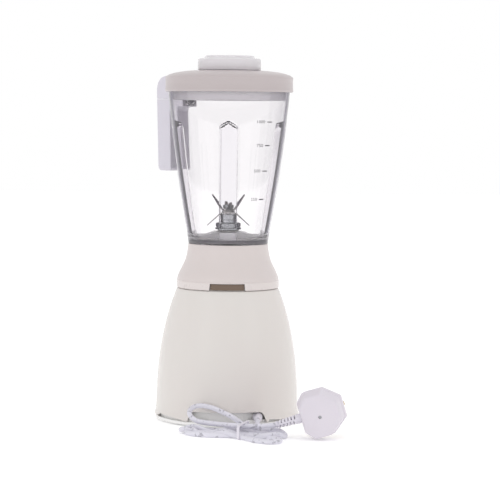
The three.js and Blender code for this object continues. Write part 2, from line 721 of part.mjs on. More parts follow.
// Ribs on the inside of the wall, one pair along each direction.
function jarRibs() {
  const bottom = JAR_FLOOR_EDGE - 1.5;
  const levels = bodyLevels(bottom, RIB_TOP, 3);
  const depth = (z) => RIB_DEEP_BOTTOM + ((RIB_DEEP_TOP - RIB_DEEP_BOTTOM) * (z - bottom)) / (RIB_TOP - bottom);
  const outer = levels.map((z) => [jarRadius(Math.max(z, JAR_FOOT_Z)) - JAR_WALL / 2, z]);
  const inner = levels.map((z) => [jarRadius(Math.max(z, JAR_FOOT_Z)) - JAR_WALL - depth(z), z]).reverse();
  const band = toSolid(turnedRing([...outer, ...inner]));
  const half = RIB_WIDTH / 2;
  const slab = outline([[-half, bottom], [half, bottom], [half, RIB_SHOULDER], [0, RIB_TOP], [-half, RIB_SHOULDER]]);
  const along = uprightPrism(slab, -70, 70);
  const across = turnedBy(uprightPrism(slab, -70, 70), Math.PI / 2);
  return band.intersect(toSolid(along).add(toSolid(across)));
}

function keySlot(angle) {
  const half = KEY_WIDTH / 2 + GAP;
  return toSolid(turnedBy(block([SPIGOT_INNER - 1, -half, SPIGOT_BOTTOM - 1], [SPIGOT_OUTER + 0.4, half, 181 + GAP]), angle));
}

function radialRod(radius, from, to, z, sides) {
  const rod = disc(radius, from, to, sides);
  rod.rotateY(Math.PI / 2);
  rod.rotateZ(HANDLE_ANGLE * DEGREE);
  rod.translate(0, 0, z);
  return rod;
}

function jar() {
  const flare = jarFlare(5);
  const inner = flare.slice(1).map(([radius, z]) => [radius - JAR_WALL, z]).reverse();
  const shell = toSolid(turnedRing([
    [SPIGOT_OUTER, SPIGOT_BOTTOM], [SPIGOT_OUTER, JAR_BOTTOM], [JAR_BOTTOM_RADIUS, JAR_BOTTOM],
    ...flare,
    [JAR_RADIUS, JAR_TOP - 0.8], [JAR_RADIUS - 0.8, JAR_TOP], [JAR_RADIUS - JAR_WALL, JAR_TOP],
    ...inner,
    [JAR_FLOOR_EDGE_RADIUS + 4, JAR_FLOOR_EDGE + 1], [JAR_FLOOR_EDGE_RADIUS, JAR_FLOOR_EDGE],
    [JAR_FLOOR_CENTRE_RADIUS, JAR_FLOOR_CENTRE], [JAR_HOLE, JAR_FLOOR_CENTRE],
    [JAR_HOLE, JAR_FLOOR_CENTRE - JAR_FLOOR_THICKNESS],
    [JAR_FLOOR_CENTRE_RADIUS, JAR_FLOOR_CENTRE - JAR_FLOOR_THICKNESS],
    [SPIGOT_INNER, JAR_FLOOR_EDGE - JAR_FLOOR_THICKNESS], [SPIGOT_INNER, SPIGOT_BOTTOM],
  ]));
  const slots = repeatAround(KEY_COUNT, (angle) => keySlot(angle + Math.PI / 4));
  const lug = toSolid(radialRod(LUG_RADIUS, JAR_RADIUS - JAR_WALL - 0.5, LUG_END, LUG_Z, FINE));
  const lugHole = toSolid(radialRod(4.8, 61.2, LUG_END + 1, LUG_Z, FINE));
  return cutBy(joined(shell, jarRibs(), lug), ...slots, lugHole);
}

// The handle hangs from the lug below the lid and is free at its lower end.
function jarHandle() {
  const shape = new THREE.Shape();
  shape.moveTo(LUG_END + GAP, LUG_Z - 7.5);
  shape.lineTo(HANDLE_INNER - 9, LUG_Z - 7.5);
  shape.quadraticCurveTo(HANDLE_INNER, LUG_Z - 7.5, HANDLE_INNER, LUG_Z - 17);
  shape.lineTo(HANDLE_INNER - 2.5, HANDLE_BOTTOM + 5);
  shape.quadraticCurveTo(HANDLE_INNER - 2.5, HANDLE_BOTTOM, HANDLE_INNER + 2.5, HANDLE_BOTTOM);
  shape.lineTo(HANDLE_OUTER - 11, HANDLE_BOTTOM);
  shape.quadraticCurveTo(HANDLE_OUTER - 4.5, HANDLE_BOTTOM, HANDLE_OUTER - 4, HANDLE_BOTTOM + 7);
  shape.lineTo(HANDLE_OUTER, HANDLE_TOP - 24);
  shape.bezierCurveTo(HANDLE_OUTER, HANDLE_TOP - 9, HANDLE_OUTER - 10, HANDLE_TOP, LID_RADIUS + 14, HANDLE_TOP);
  shape.lineTo(LID_RADIUS + 1.4, HANDLE_TOP);
  shape.lineTo(LID_RADIUS + 1.4, LUG_Z + 7.3);
  shape.lineTo(LUG_END + GAP, LUG_Z + 7.3);
  const bevel = 3;
  const geometry = new THREE.ExtrudeGeometry(shape, {
    depth: HANDLE_WIDTH - 2 * bevel, bevelEnabled: true, bevelThickness: bevel, bevelSize: bevel, bevelOffset: -bevel,
    bevelSegments: 2, curveSegments: 4,
  });
  geometry.translate(0, 0, bevel - HANDLE_WIDTH / 2);
  geometry.rotateX(Math.PI / 2);
  const grip = toSolid(geometry);
  const insertHole = disc(4.8, LUG_END - 2, 72, FINE);
  insertHole.rotateY(Math.PI / 2);
  insertHole.translate(0, 0, LUG_Z);
  const solid = toGeometry(grip.subtract(toSolid(insertHole)));
  return turnedBy(solid, HANDLE_ANGLE * DEGREE);
}

function handleInsert() {
  return radialRod(4.5, 61.5, 71.7, LUG_Z, FINE);
}

// ---------- lid ----------

const GASKET_BOTTOM = 348;
const GASKET_TOP = 351;
const LID_PLUG_OUTER = 58.9;
const LID_PLUG_INNER = 56.8;
const LID_PLUG_BOTTOM = 332;

function lid() {
  return turnedRing([
    [LID_RADIUS - 0.4, LID_BOTTOM], [LID_RADIUS, LID_BOTTOM + 0.6], [LID_RADIUS, LID_RIM_TOP - 1.5],
    [LID_RADIUS - 0.8, LID_RIM_TOP + 0.8], [63, 358.2], [58.3, 359.7], [52.6, 361], [46, 362], [33, LID_TOP],
    [LID_HOLE, LID_TOP], [LID_HOLE, 353], [LID_HOLE + 1.8, 353], [LID_HOLE + 1.8, 360.2], [45, 359.8],
    [LID_PLUG_INNER, 357.4], [LID_PLUG_INNER, LID_PLUG_BOTTOM], [LID_PLUG_OUTER, LID_PLUG_BOTTOM],
    [LID_PLUG_OUTER, GASKET_BOTTOM - GAP], [LID_PLUG_OUTER - 1, GASKET_BOTTOM - GAP],
    [LID_PLUG_OUTER - 1, GASKET_TOP + GAP], [LID_PLUG_OUTER, GASKET_TOP + GAP],
    [LID_PLUG_OUTER, JAR_TOP + 0.4], [64, JAR_TOP + 0.4], [64, LID_BOTTOM],
  ]);
}

function lidGasket() {
  return turnedRing([
    [LID_PLUG_OUTER + 0.4, GASKET_BOTTOM], [LID_PLUG_OUTER + 1, (GASKET_BOTTOM + GASKET_TOP) / 2],
    [LID_PLUG_OUTER + 0.4, GASKET_TOP], [LID_PLUG_OUTER - 1 + GAP, GASKET_TOP],
    [LID_PLUG_OUTER - 1 + GAP, GASKET_BOTTOM],
  ]);
}

function measuringCap() {
  return turned([
    [24.4, CUP_BOTTOM], [26.2, CUP_BOTTOM], [26.8, 366], [27, 373], [31, 373], [31, LID_TOP + 0.5],
    [CAP_RADIUS - 0.5, LID_TOP + 0.5], [CAP_RADIUS, LID_TOP + 1], [CAP_RADIUS, 373.4], [CAP_RADIUS - 1.4, 375],
    [26, 375.2], [25.6, CAP_TOP - 0.8], [24.8, CAP_TOP], [0, CAP_TOP - 0.4], [0, 375.6], [24.4, 375.6],
    [24.4, CUP_BOTTOM],
  ], 28);
}

// ---------- blade unit ----------

function bladeShaft() {
  return turned([
    [0, 183], [BLADE_SHAFT_RADIUS, 183], [BLADE_SHAFT_RADIUS, 223.4], [BLADE_SHAFT_RADIUS - 0.6, 224], [0, 224],
  ], FINE);
}

function bladeBush() {
  return turnedRing([
    [BUSH_RADIUS, 191.4], [BUSH_RADIUS, 205.9], [BUSH_COLLAR_RADIUS - 0.8, 205.9], [BUSH_COLLAR_RADIUS, 206.7],
    [BUSH_COLLAR_RADIUS, 214], [BUSH_COLLAR_RADIUS - 1, 215], [BLADE_SHAFT_RADIUS + RUN, 215],
    [BLADE_SHAFT_RADIUS + RUN, 191.4],
  ], FINE);
}

function bladeSeal() {
  return ring(BUSH_RADIUS + GAP, 11, JAR_FLOOR_CENTRE + GAP, 198.2, FINE);
}

function bladeFlange() {
  const hex = toSolid(disc(13, 200.2, 205.5, 6));
  const skirt = toSolid(disc(13.6, 198.5, 200.8, FINE, 12.4));
  const hole = toSolid(disc(BUSH_RADIUS + GAP, 190, 210, FINE));
  return hex.add(skirt).subtract(hole);
}

// A pair of wings bent from one strip, pointed at both tips.
// The wings leave the hub at `seat` and end `rise` above it, `reach` from the axis.
function blade(seat, reach, rise, rootWidth, tipWidth, twist) {
  const half = BLADE_THICKNESS / 2;
  const bend = HUB_RADIUS + 0.5;
  const slope = Math.atan2(rise, reach - bend);
  const lift = BLADE_THICKNESS / Math.cos(slope);
  const strip = outline([
    [-reach, seat + rise], [-bend, seat], [bend, seat], [reach, seat + rise],
    [reach, seat + rise + lift], [bend, seat + BLADE_THICKNESS], [-bend, seat + BLADE_THICKNESS],
    [-reach, seat + rise + lift],
  ]);
  const plan = outline([
    [-reach, -tipWidth + 1], [-bend, -rootWidth / 2], [bend, -rootWidth / 2], [reach, tipWidth - 3],
    [reach, tipWidth - 1], [bend, rootWidth / 2], [-bend, rootWidth / 2], [-reach, 3 - tipWidth],
  ]);
  const bent = toSolid(uprightPrism(strip, -rootWidth, rootWidth));
  const cut = toSolid(prism(plan, seat - 30, seat + 30));
  const hole = toSolid(disc(BLADE_SHAFT_RADIUS + RUN, seat - half - 2, seat + 3, FINE));
  return turnedBy(toGeometry(bent.intersect(cut).subtract(hole)), twist * DEGREE);
}

function bladeNut() {
  const hex = toSolid(disc(5.2, 220.9, 224.6, 6));
  const hole = toSolid(disc(BLADE_SHAFT_RADIUS + RUN, 220, 224.2, FINE));
  return hex.subtract(hole);
}

// ---------- mains lead ----------

function cordTube(route) {
  const curve = new THREE.CatmullRomCurve3(route.map((point) => new THREE.Vector3(...point)));
  const steps = Math.max(4, Math.round(curve.getLength() / (CORD_RADIUS * 4)));
  const section = new THREE.Shape();
  section.absarc(0, 0, CORD_RADIUS, 0, 2 * Math.PI);
  return new THREE.ExtrudeGeometry(section, { extrudePath: curve, steps, curveSegments: 4, bevelEnabled: false });
}

function cordGland() {
  const profile = turned([
    [0, 48], [3.4, 48], [3.4, -GLAND_FACE], [5, -GLAND_FACE], [5, -GLAND_FACE + 2], [4.1, -GLAND_FACE + 2.2],
    [3.1, -GLAND_END], [0, -GLAND_END],
  ], SMALL);
  profile.rotateX(Math.PI / 2);
  return moved(profile, GLAND_X, 0, GLAND_Z);
}

function cordHank() {
  const end = HANK_WIDTH / 2;
  const straight = HANK_LENGTH / 2 - end;
  const shape = new THREE.Shape();
  shape.absarc(straight, 0, end, -Math.PI / 2, Math.PI / 2);
  shape.absarc(-straight, 0, end, Math.PI / 2, 1.5 * Math.PI);
  const runs = prism(shape, HANK_BOTTOM, HANK_TOP, 10);
  runs.rotateZ(HANK_ANGLE * DEGREE);
  return toSolid(moved(runs, HANK_CENTRE[0], HANK_CENTRE[1], 0)).add(hankTail());
}

// The flat loop that strays from the front of the hank, round the line from its start to its end.
function hankTail() {
  const start = new THREE.Vector2(...TAIL_START);
  const along = new THREE.Vector2(...TAIL_END).sub(start);
  const shape = new THREE.Shape();
  shape.absarc(along.length(), 0, TAIL_RADIUS, -Math.PI / 2, Math.PI / 2);
  shape.absarc(0, 0, TAIL_RADIUS, Math.PI / 2, 1.5 * Math.PI);
  const slab = turnedBy(prism(shape, HANK_BOTTOM, TAIL_TOP, 8), along.angle());
  return toSolid(moved(slab, start.x, start.y, 0));
}

// Outline of the plug: x runs from the cord's side to the nose.
function plugOutline(inset) {
  const x = PLUG_HALF_LENGTH - inset;
  const y = PLUG_HALF_WIDTH - inset;
  return outline([
    [-x, -y + 8.5], [-x + 8, -y], [6, -y], [x, -y / 2 + 1], [x, y / 2 - 1], [6, y], [-x + 8, y], [-x, y - 8.5],
  ]);
}

function plugBody() {
  const half = PLUG_THICKNESS / 2;
  const back = toSolid(prism(plugOutline(0), -half, -half + 8));
  const middle = toSolid(prism(plugOutline(1.2), -half + 7, half - 4));
  const grip = toSolid(prism(plugOutline(3), half - 5, half));
  const socket = disc(4.6, 0, 6, SMALL);
  socket.rotateY(Math.PI / 2);
  socket.translate(-PLUG_HALF_LENGTH - 3, 0, 0);
  return joined(back, middle, grip).subtract(toSolid(socket));
}

function plugRelief() {
  const profile = turned([
    [0, PLUG_HALF_LENGTH - 2.6], [4.3, PLUG_HALF_LENGTH - 2.6], [4.3, PLUG_HALF_LENGTH + 3],
    [3.1, PLUG_HALF_LENGTH + PLUG_RELIEF_LENGTH], [0, PLUG_HALF_LENGTH + PLUG_RELIEF_LENGTH],
  ], SMALL);
  profile.rotateY(-Math.PI / 2);
  return profile;
}

// A pin on the back of the plug. Width runs across the plug and height along it.
function plugPin(x, y, length, height, width) {
  const root = -PLUG_THICKNESS / 2 - GAP;
  return block([x - height / 2, y - width / 2, root - length], [x + height / 2, y + width / 2, root]);
}

// ---------- assembly ----------

function motorGroup() {
  const group = new THREE.Group();
  group.add(
    piece('motor_stator', motorStator(), metal(DARK_STEEL, 0.5)),
    piece('field_coil_front', fieldCoil(1), metal(COPPER, 0.4)),
    piece('field_coil_rear', fieldCoil(-1), metal(COPPER, 0.4)),
    piece('motor_bracket_upper', motorBracket(UPPER_BRACKET_Z), metal(STEEL, 0.45)),
    piece('motor_bracket_lower', motorBracket(LOWER_BRACKET_Z), metal(STEEL, 0.45)),
    piece('bearing_upper', sleeveBearing(UPPER_BRACKET_Z - 3), metal(BRASS, 0.5)),
    piece('bearing_lower', sleeveBearing(LOWER_BRACKET_Z - 3), metal(BRASS, 0.5)),
    piece('motor_bolt_1', motorBolt(1), metal(STEEL, 0.35)),
    piece('motor_bolt_2', motorBolt(-1), metal(STEEL, 0.35)),
    piece('brush_holder_1', brushHolder(1), metal(BRASS, 0.4)),
    piece('brush_holder_2', brushHolder(-1), metal(BRASS, 0.4)),
    piece('carbon_brush_1', carbonBrush(1), plastic(CARBON, 0.7)),
    piece('carbon_brush_2', carbonBrush(-1), plastic(CARBON, 0.7)),
  );
  return group;
}

function rotorGroup() {
  const group = new THREE.Group();
  group.add(
    piece('motor_shaft', motorShaft(), metal(STEEL, 0.25)),
    piece('armature_core', armatureCore(), metal(DARK_STEEL, 0.5)),
    piece('armature_winding_upper', endWinding(STACK_TOP + GAP, STACK_TOP + 6.5), metal(COPPER, 0.4)),
    piece('armature_winding_lower', endWinding(STACK_BOTTOM - 7, STACK_BOTTOM - GAP), metal(COPPER, 0.4)),
    piece('commutator', commutator(), metal(COPPER, 0.3)),
    piece('cooling_fan', coolingFan(), plastic(BLACK, 0.5)),
    piece('drive_coupling', driveCoupling(), plastic(BLACK, 0.5)),
  );
  return group;
}

function baseGroup() {
  const group = new THREE.Group();
  group.add(
    piece('body_housing', bodyHousing(), plastic(CREAM, 0.3)),
    piece('neck_housing', neckHousing(), plastic(CREAM_BAND, 0.3)),
    piece('notch_panel', notchPanel(), plastic(TAN, 0.5)),
    piece('base_plate', basePlate(), plastic(WHITE, 0.45)),
    piece('rotary_switch', rotarySwitch(), plastic(BLACK, 0.5)),
    piece('dial_plate', dialPlate(), plastic(WHITE, 0.4)),
    piece('cord_gland', cordGland(), plastic(CORD_WHITE, 0.5)),
  );
  for (let i = 0; i < 4; i += 1) {
    group.add(piece(`foot_${i + 1}`, foot(i), plastic(RUBBER_GREY, 0.85)));
  }
  for (let i = 0; i < SCREW_ANGLES.length; i += 1) {
    group.add(piece(`base_screw_${i + 1}`, baseScrew(i), metal(STEEL, 0.35)));
  }
  return group;
}

function jarGroup() {
  const group = new THREE.Group();
  group.add(
    piece('jar', jar(), clear(CLEAR_TINT)),
    piece('jar_handle', jarHandle(), plastic(MILKY, 0.3)),
    piece('handle_insert', handleInsert(), plastic(DARK_STEEL, 0.3)),
    piece('blade_bush', bladeBush(), metal(STEEL, 0.3)),
    piece('blade_seal', bladeSeal(), plastic(RUBBER_WHITE, 0.7)),
    piece('blade_flange', bladeFlange(), metal(STEEL, 0.3)),
    piece('lid', lid(), plastic(WHITE, 0.3)),
    piece('lid_gasket', lidGasket(), plastic(RUBBER_WHITE, 0.7)),
    piece('measuring_cap', measuringCap(), clear(CLEAR_TINT)),
  );
  return group;
}

function bladeGroup() {
  const group = new THREE.Group();
  group.add(
    piece('blade_shaft', bladeShaft(), metal(STEEL, 0.25)),
    piece('blade_lower', blade(215.6, 22, -14, 13, 3.6, 4), metal(STEEL, 0.2)),
    piece('blade_middle', blade(217.3, 17, 9.5, 11, 3.4, 98), metal(STEEL, 0.2)),
    piece('blade_upper', blade(219, 17, 15, 10, 3.2, -6), metal(STEEL, 0.2)),
    piece('blade_nut', bladeNut(), metal(STEEL, 0.3)),
    piece('jar_coupling', jarCoupling(), plastic(BLACK, 0.5)),
  );
  return group;
}

function knobGroup() {
  const group = new THREE.Group();
  group.add(
    piece('speed_knob', speedKnob(), plastic(WHITE, 0.35)),
    piece('switch_shaft', switchShaft(), metal(STEEL, 0.35)),
  );
  return group;
}

// The plug stands on one corner with its grip face towards -Y and its nose up.
function plugGroup() {
  const group = new THREE.Group();
  group.add(
    piece('plug_body', plugBody(), plastic(WHITE, 0.35)),
    piece('plug_strain_relief', plugRelief(), plastic(CORD_WHITE, 0.5)),
    piece('plug_pin_earth', plugPin(14.2, 0, 22.7, 7.9, 4), metal(BRASS, 0.25)),
    piece('plug_pin_live', plugPin(-8, -11.1, 17.7, 4, 6.35), metal(BRASS, 0.25)),
    piece('plug_pin_neutral', plugPin(-8, 11.1, 17.7, 4, 6.35), metal(BRASS, 0.25)),
  );
  const yaw = PLUG_YAW * DEGREE;
  const roll = PLUG_ROLL * DEGREE;
  const right = new THREE.Vector3(Math.cos(yaw), -Math.sin(yaw), 0);
  const up = new THREE.Vector3(0, 0, 1);
  const alongPlug = right.clone().multiplyScalar(Math.cos(roll)).addScaledVector(up, Math.sin(roll));
  const acrossPlug = right.clone().multiplyScalar(-Math.sin(roll)).addScaledVector(up, Math.cos(roll));
  const towardsFront = new THREE.Vector3().crossVectors(alongPlug, acrossPlug);
  group.quaternion.setFromRotationMatrix(new THREE.Matrix4().makeBasis(alongPlug, acrossPlug, towardsFront));
  group.position.set(...PLUG_CENTRE);
  return group;
}

function leadGroup() {
  const group = new THREE.Group();
  group.add(
    piece('mains_cord', cordTube(EXIT_ROUTE), plastic(CORD_WHITE, 0.5)),
    piece('cord_loop', cordTube(LOOP_ROUTE), plastic(CORD_WHITE, 0.5)),
    piece('cord_lead', cordTube(LEAD_ROUTE), plastic(CORD_WHITE, 0.5)),
    piece('cord_hank', cordHank(), plastic(CORD_WHITE, 0.5)),
    plugGroup(),
  );
  return group;
}

const blender = new THREE.Group();
blender.add(baseGroup(), motorGroup(), rotorGroup(), knobGroup(), jarGroup(), bladeGroup(), leadGroup());

export default blender;
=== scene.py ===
"""The looks of a one-litre countertop blender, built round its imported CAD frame.

Lengths are in millimetres until a mesh is made, and +Z is up. The drive axis is the Z axis. The cord leaves the
base on its -Y side, which faces the camera, and the speed knob is on the +Y side.
"""
import json
import math

import bmesh
import bpy
import numpy as np
from mathutils import Matrix, Quaternion, Vector


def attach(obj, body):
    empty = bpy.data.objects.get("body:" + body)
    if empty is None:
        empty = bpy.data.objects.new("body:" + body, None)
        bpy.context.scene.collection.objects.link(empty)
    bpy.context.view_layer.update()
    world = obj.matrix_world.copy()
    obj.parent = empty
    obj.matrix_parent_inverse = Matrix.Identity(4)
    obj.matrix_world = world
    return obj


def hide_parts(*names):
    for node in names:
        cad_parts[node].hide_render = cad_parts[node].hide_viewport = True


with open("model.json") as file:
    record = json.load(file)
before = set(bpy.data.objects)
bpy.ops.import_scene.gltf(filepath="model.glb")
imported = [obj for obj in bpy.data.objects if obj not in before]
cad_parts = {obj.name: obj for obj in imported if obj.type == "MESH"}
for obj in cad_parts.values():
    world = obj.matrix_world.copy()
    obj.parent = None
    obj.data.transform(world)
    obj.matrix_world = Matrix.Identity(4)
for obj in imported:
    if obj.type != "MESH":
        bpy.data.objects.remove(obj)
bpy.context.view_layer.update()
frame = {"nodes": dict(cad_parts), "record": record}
MM = 0.001
SCENE = bpy.context.scene


# ---------- camera, floor and lights ----------

CAMERA_AT = (22.9, -2080, 317)
CAMERA_AIM = (22.9, 0, 176.6)
CAMERA_ROLL = 0.5  # degrees


def link(name, data):
    thing = bpy.data.objects.new(name, data)
    SCENE.collection.objects.link(thing)
    return thing


def add_camera():
    data = bpy.data.cameras.new("camera")
    data.lens = 144
    data.sensor_width = 36
    data.clip_start = 0.05
    data.clip_end = 50
    camera = link("camera", data)
    camera.location = Vector(CAMERA_AT) * MM
    look = (Vector(CAMERA_AIM) - Vector(CAMERA_AT)).to_track_quat("-Z", "Y")
    camera.rotation_mode = "QUATERNION"
    camera.rotation_quaternion = look @ Quaternion((0, 0, 1), math.radians(CAMERA_ROLL))
    SCENE.camera = camera


def add_lamp(name, at, aim, size, power, colour=(1, 1, 1)):
    data = bpy.data.lights.new(name, "AREA")
    data.shape = "RECTANGLE"
    data.size, data.size_y = size
    data.energy = power
    data.color = colour
    lamp = link(name, data)
    lamp.location = at
    lamp.rotation_mode = "QUATERNION"
    lamp.rotation_quaternion = (Vector(aim) - Vector(at)).to_track_quat("-Z", "Y")


FLAG_DISTANCE = 0.26
FLAG_SIDES = (-0.05, 0.6, 0.02, 0.6)  # near, far, bottom and top


def dark_flag(name, side):
    """A dark card beside the jar that only refracted light can find. It draws the jar's edges."""
    mesh = bpy.data.meshes.new(name)
    x = FLAG_DISTANCE * side
    near, far, bottom, top = FLAG_SIDES
    mesh.from_pydata([(x, near, bottom), (x, far, bottom), (x, far, top), (x, near, top)], [], [(0, 1, 2, 3)])
    mesh.materials.append(card_material())
    flag = link(name, mesh)
    flag.visible_camera = False
    flag.visible_diffuse = False
    flag.visible_glossy = False
    flag.visible_shadow = False
    return flag


FLOOR_HALF = 6


def add_studio():
    SCENE.view_settings.view_transform = "Standard"
    world = bpy.data.worlds.new("studio")
    SCENE.world = world
    world.use_nodes = True
    background = world.node_tree.nodes["Background"]
    background.inputs["Color"].default_value = (1, 1, 1, 1)
    background.inputs["Strength"].default_value = 1.0
    add_lamp("overhead", (0, -0.3, 2.2), (0, 0, 0), (2.4, 2.4), 2.5)
    add_lamp("front_left", (-1.5, -1.9, 1.2), (0, 0, 0.2), (1.2, 1.6), 2)
    add_lamp("front_right", (1.7, -1.7, 0.9), (0, 0, 0.2), (0.9, 1.4), 1)
    mesh = bpy.data.meshes.new("floor")
    half = FLOOR_HALF
    mesh.from_pydata([(-half, -half, 0), (half, -half, 0), (half, half, 0), (-half, half, 0)], [], [(0, 1, 2, 3)])
    floor = link("floor", mesh)
    mesh.materials.append(floor_material())
    for side in (-1, 1):
        dark_flag(f"flag_{side}", side)


# ---------- materials ----------

class Nodes:
    """A material's node tree, with short calls for the nodes that the finishes share."""

    def __init__(self, name):
        self.material = bpy.data.materials.new(name)
        self.material.use_nodes = True
        self.tree = self.material.node_tree
        self.shader = self.tree.nodes["Principled BSDF"]
        self.output = self.tree.nodes["Material Output"]
        self.place = self.tree.nodes.new("ShaderNodeTexCoord").outputs["Object"]

    def set(self, **values):
        for name, value in values.items():
            self.shader.inputs[name.replace("_", " ")].default_value = value

    def noise(self, scale, detail=3.0, roughness=0.5, stretch=(1, 1, 1)):
        place = self.tree.nodes.new("ShaderNodeMapping")
        place.inputs["Scale"].default_value = stretch
        self.tree.links.new(self.place, place.inputs["Vector"])
        node = self.tree.nodes.new("ShaderNodeTexNoise")
        node.inputs["Scale"].default_value = scale
        node.inputs["Detail"].default_value = detail
        node.inputs["Roughness"].default_value = roughness
        self.tree.links.new(place.outputs["Vector"], node.inputs["Vector"])
        return node.outputs["Fac"]

    def waves(self, direction, scale, distortion=0.0):
        node = self.tree.nodes.new("ShaderNodeTexWave")
        node.bands_direction = direction
        node.inputs["Scale"].default_value = scale
        node.inputs["Distortion"].default_value = distortion
        self.tree.links.new(self.place, node.inputs["Vector"])
        return node.outputs["Fac"]

    def spread(self, source, low, high, start=0.3, end=0.7):
        node = self.tree.nodes.new("ShaderNodeMapRange")
        node.inputs["From Min"].default_value = start
        node.inputs["From Max"].default_value = end
        node.inputs["To Min"].default_value = low
        node.inputs["To Max"].default_value = high
        self.tree.links.new(source, node.inputs["Value"])
        return node.outputs["Result"]

    def blend(self, share, first, second):
        """A colour that goes from the first to the second with a share from 0 to 1."""
        node = self.tree.nodes.new("ShaderNodeMix")
        node.data_type = "RGBA"
        self.tree.links.new(share, node.inputs["Factor"])
        for socket, colour in (("A", first), ("B", second)):
            target = [i for i in node.inputs if i.name == socket and i.type == "RGBA"][0]
            if hasattr(colour, "is_output"):
                self.tree.links.new(colour, target)
            else:
                target.default_value = (*colour, 1)
        return [o for o in node.outputs if o.type == "RGBA"][0]

    def drive(self, source, socket):
        self.tree.links.new(source, self.shader.inputs[socket])

    def bump(self, source, height, strength=1.0):
        node = self.tree.nodes.new("ShaderNodeBump")
        node.inputs["Distance"].default_value = height * MM
        node.inputs["Strength"].default_value = strength
        self.tree.links.new(source, node.inputs["Height"])
        self.tree.links.new(node.outputs["Normal"], self.shader.inputs["Normal"])


def linear(red, green, blue):
    """A colour given as 0 to 255 in sRGB, as the linear light that shaders take."""
    shares = [value / 255 for value in (red, green, blue)]
    return tuple(s / 12.92 if s <= 0.04045 else ((s + 0.055) / 1.055) ** 2.4 for s in shares)


def card_material():
    nodes = Nodes("dark_card")
    nodes.set(Roughness=0.9, Specular_IOR_Level=0.1)
    tone = nodes.spread(nodes.noise(4), 0.0, 1.0)
    nodes.drive(nodes.blend(tone, (0.09, 0.07, 0.12), (0.1, 0.08, 0.13)), "Base Color")
    return nodes.material


def floor_material():
    nodes = Nodes("floor_paper")
    nodes.set(Roughness=0.8, Specular_IOR_Level=0.2)
    tone = nodes.spread(nodes.noise(6), 0.0, 1.0)
    nodes.drive(nodes.blend(tone, (0.94, 0.94, 0.94), (0.95, 0.95, 0.95)), "Base Color")
    nodes.set(Emission_Color=(1, 1, 1, 1), Emission_Strength=0.2)
    return nodes.material


def moulded(name, colour, other=None, roughness=0.3, grain=0.012, grain_scale=900, soft=0.0):
    """Injection-moulded plastic: broad tone drift, fine mould texture and uneven gloss."""
    nodes = Nodes(name)
    other = other or tuple(0.96 * c for c in colour)
    nodes.drive(nodes.blend(nodes.spread(nodes.noise(9, 3), 0.0, 1.0, 0.2, 0.8), colour, other), "Base Color")
    nodes.drive(nodes.spread(nodes.noise(55, 5, 0.6), roughness * 0.85, roughness * 1.2, 0.2, 0.8), "Roughness")
    nodes.bump(nodes.noise(grain_scale, 2), grain, 0.5)
    nodes.set(IOR=1.48)
    if soft:
        nodes.set(Subsurface_Weight=soft, Subsurface_Scale=0.004, Subsurface_Radius=(1.0, 0.9, 0.85))
    return nodes.material


def clear_plastic(name, tint, density, roughness=0.02):
    """Moulded clear plastic with a faint ripple and a tint that deepens with thickness."""
    nodes = Nodes(name)
    nodes.set(Base_Color=(0.976, 0.966, 0.972, 1), Transmission_Weight=1.0, IOR=1.49)
    nodes.drive(nodes.spread(nodes.noise(40, 3), roughness, roughness * 2.5), "Roughness")
    nodes.bump(nodes.noise(28, 2), 0.05, 0.25)
    volume = nodes.tree.nodes.new("ShaderNodeVolumeAbsorption")
    volume.inputs["Color"].default_value = (*tint, 1)
    volume.inputs["Density"].default_value = density
    nodes.tree.links.new(volume.outputs["Volume"], nodes.output.inputs["Volume"])
    return nodes.material


def milky(name, colour, clearness, roughness=0.2):
    """Cloudy plastic: part of the light goes through it and is scattered."""
    nodes = Nodes(name)
    other = tuple(0.97 * c for c in colour)
    nodes.drive(nodes.blend(nodes.spread(nodes.noise(12, 3), 0.0, 1.0, 0.2, 0.8), colour, other), "Base Color")
    nodes.drive(nodes.spread(nodes.noise(60, 4), roughness * 0.8, roughness * 1.3, 0.2, 0.8), "Roughness")
    nodes.bump(nodes.noise(40, 2), 0.04, 0.3)
    nodes.set(IOR=1.49, Transmission_Weight=clearness)
    nodes.set(Subsurface_Weight=0.15, Subsurface_Scale=0.004, Subsurface_Radius=(1.0, 0.95, 0.95))
    return nodes.material


def rubber(name, colour, roughness=0.75):
    nodes = Nodes(name)
    dark = tuple(0.7 * c for c in colour)
    nodes.drive(nodes.blend(nodes.spread(nodes.noise(90, 5, 0.7), 0.0, 1.0), dark, colour), "Base Color")
    nodes.drive(nodes.spread(nodes.noise(300, 3), roughness * 0.85, min(1.0, roughness * 1.15)), "Roughness")
    nodes.bump(nodes.noise(2200, 3), 0.03, 0.6)
    nodes.set(Specular_IOR_Level=0.3)
    return nodes.material


def brushed(name, colour, roughness=0.25, stretch=(1, 1, 12), scale=400, grain=0.01):
    """Machined or stamped metal, with fine lines across the long way of the grain."""
    nodes = Nodes(name)
    nodes.set(Metallic=1.0)
    dark = tuple(0.72 * c for c in colour)
    nodes.drive(nodes.blend(nodes.spread(nodes.noise(120, 4, 0.6), 0.0, 1.0), colour, dark), "Base Color")
    lines = nodes.noise(scale, 3, 0.6, stretch)
    nodes.drive(nodes.spread(lines, roughness * 0.7, roughness * 1.5), "Roughness")
    nodes.bump(lines, grain, 0.5)
    return nodes.material


def laminated(name, colour):
    """A stack of sheet steel: one line for each sheet."""
    nodes = Nodes(name)
    nodes.set(Metallic=0.9)
    sheets = nodes.waves("Z", 600)
    dark = tuple(0.5 * c for c in colour)
    nodes.drive(nodes.blend(nodes.spread(nodes.noise(150, 4), 0.0, 1.0), colour, dark), "Base Color")
    nodes.drive(nodes.spread(nodes.noise(300, 3), 0.35, 0.6), "Roughness")
    nodes.bump(sheets, 0.08, 0.6)
    return nodes.material


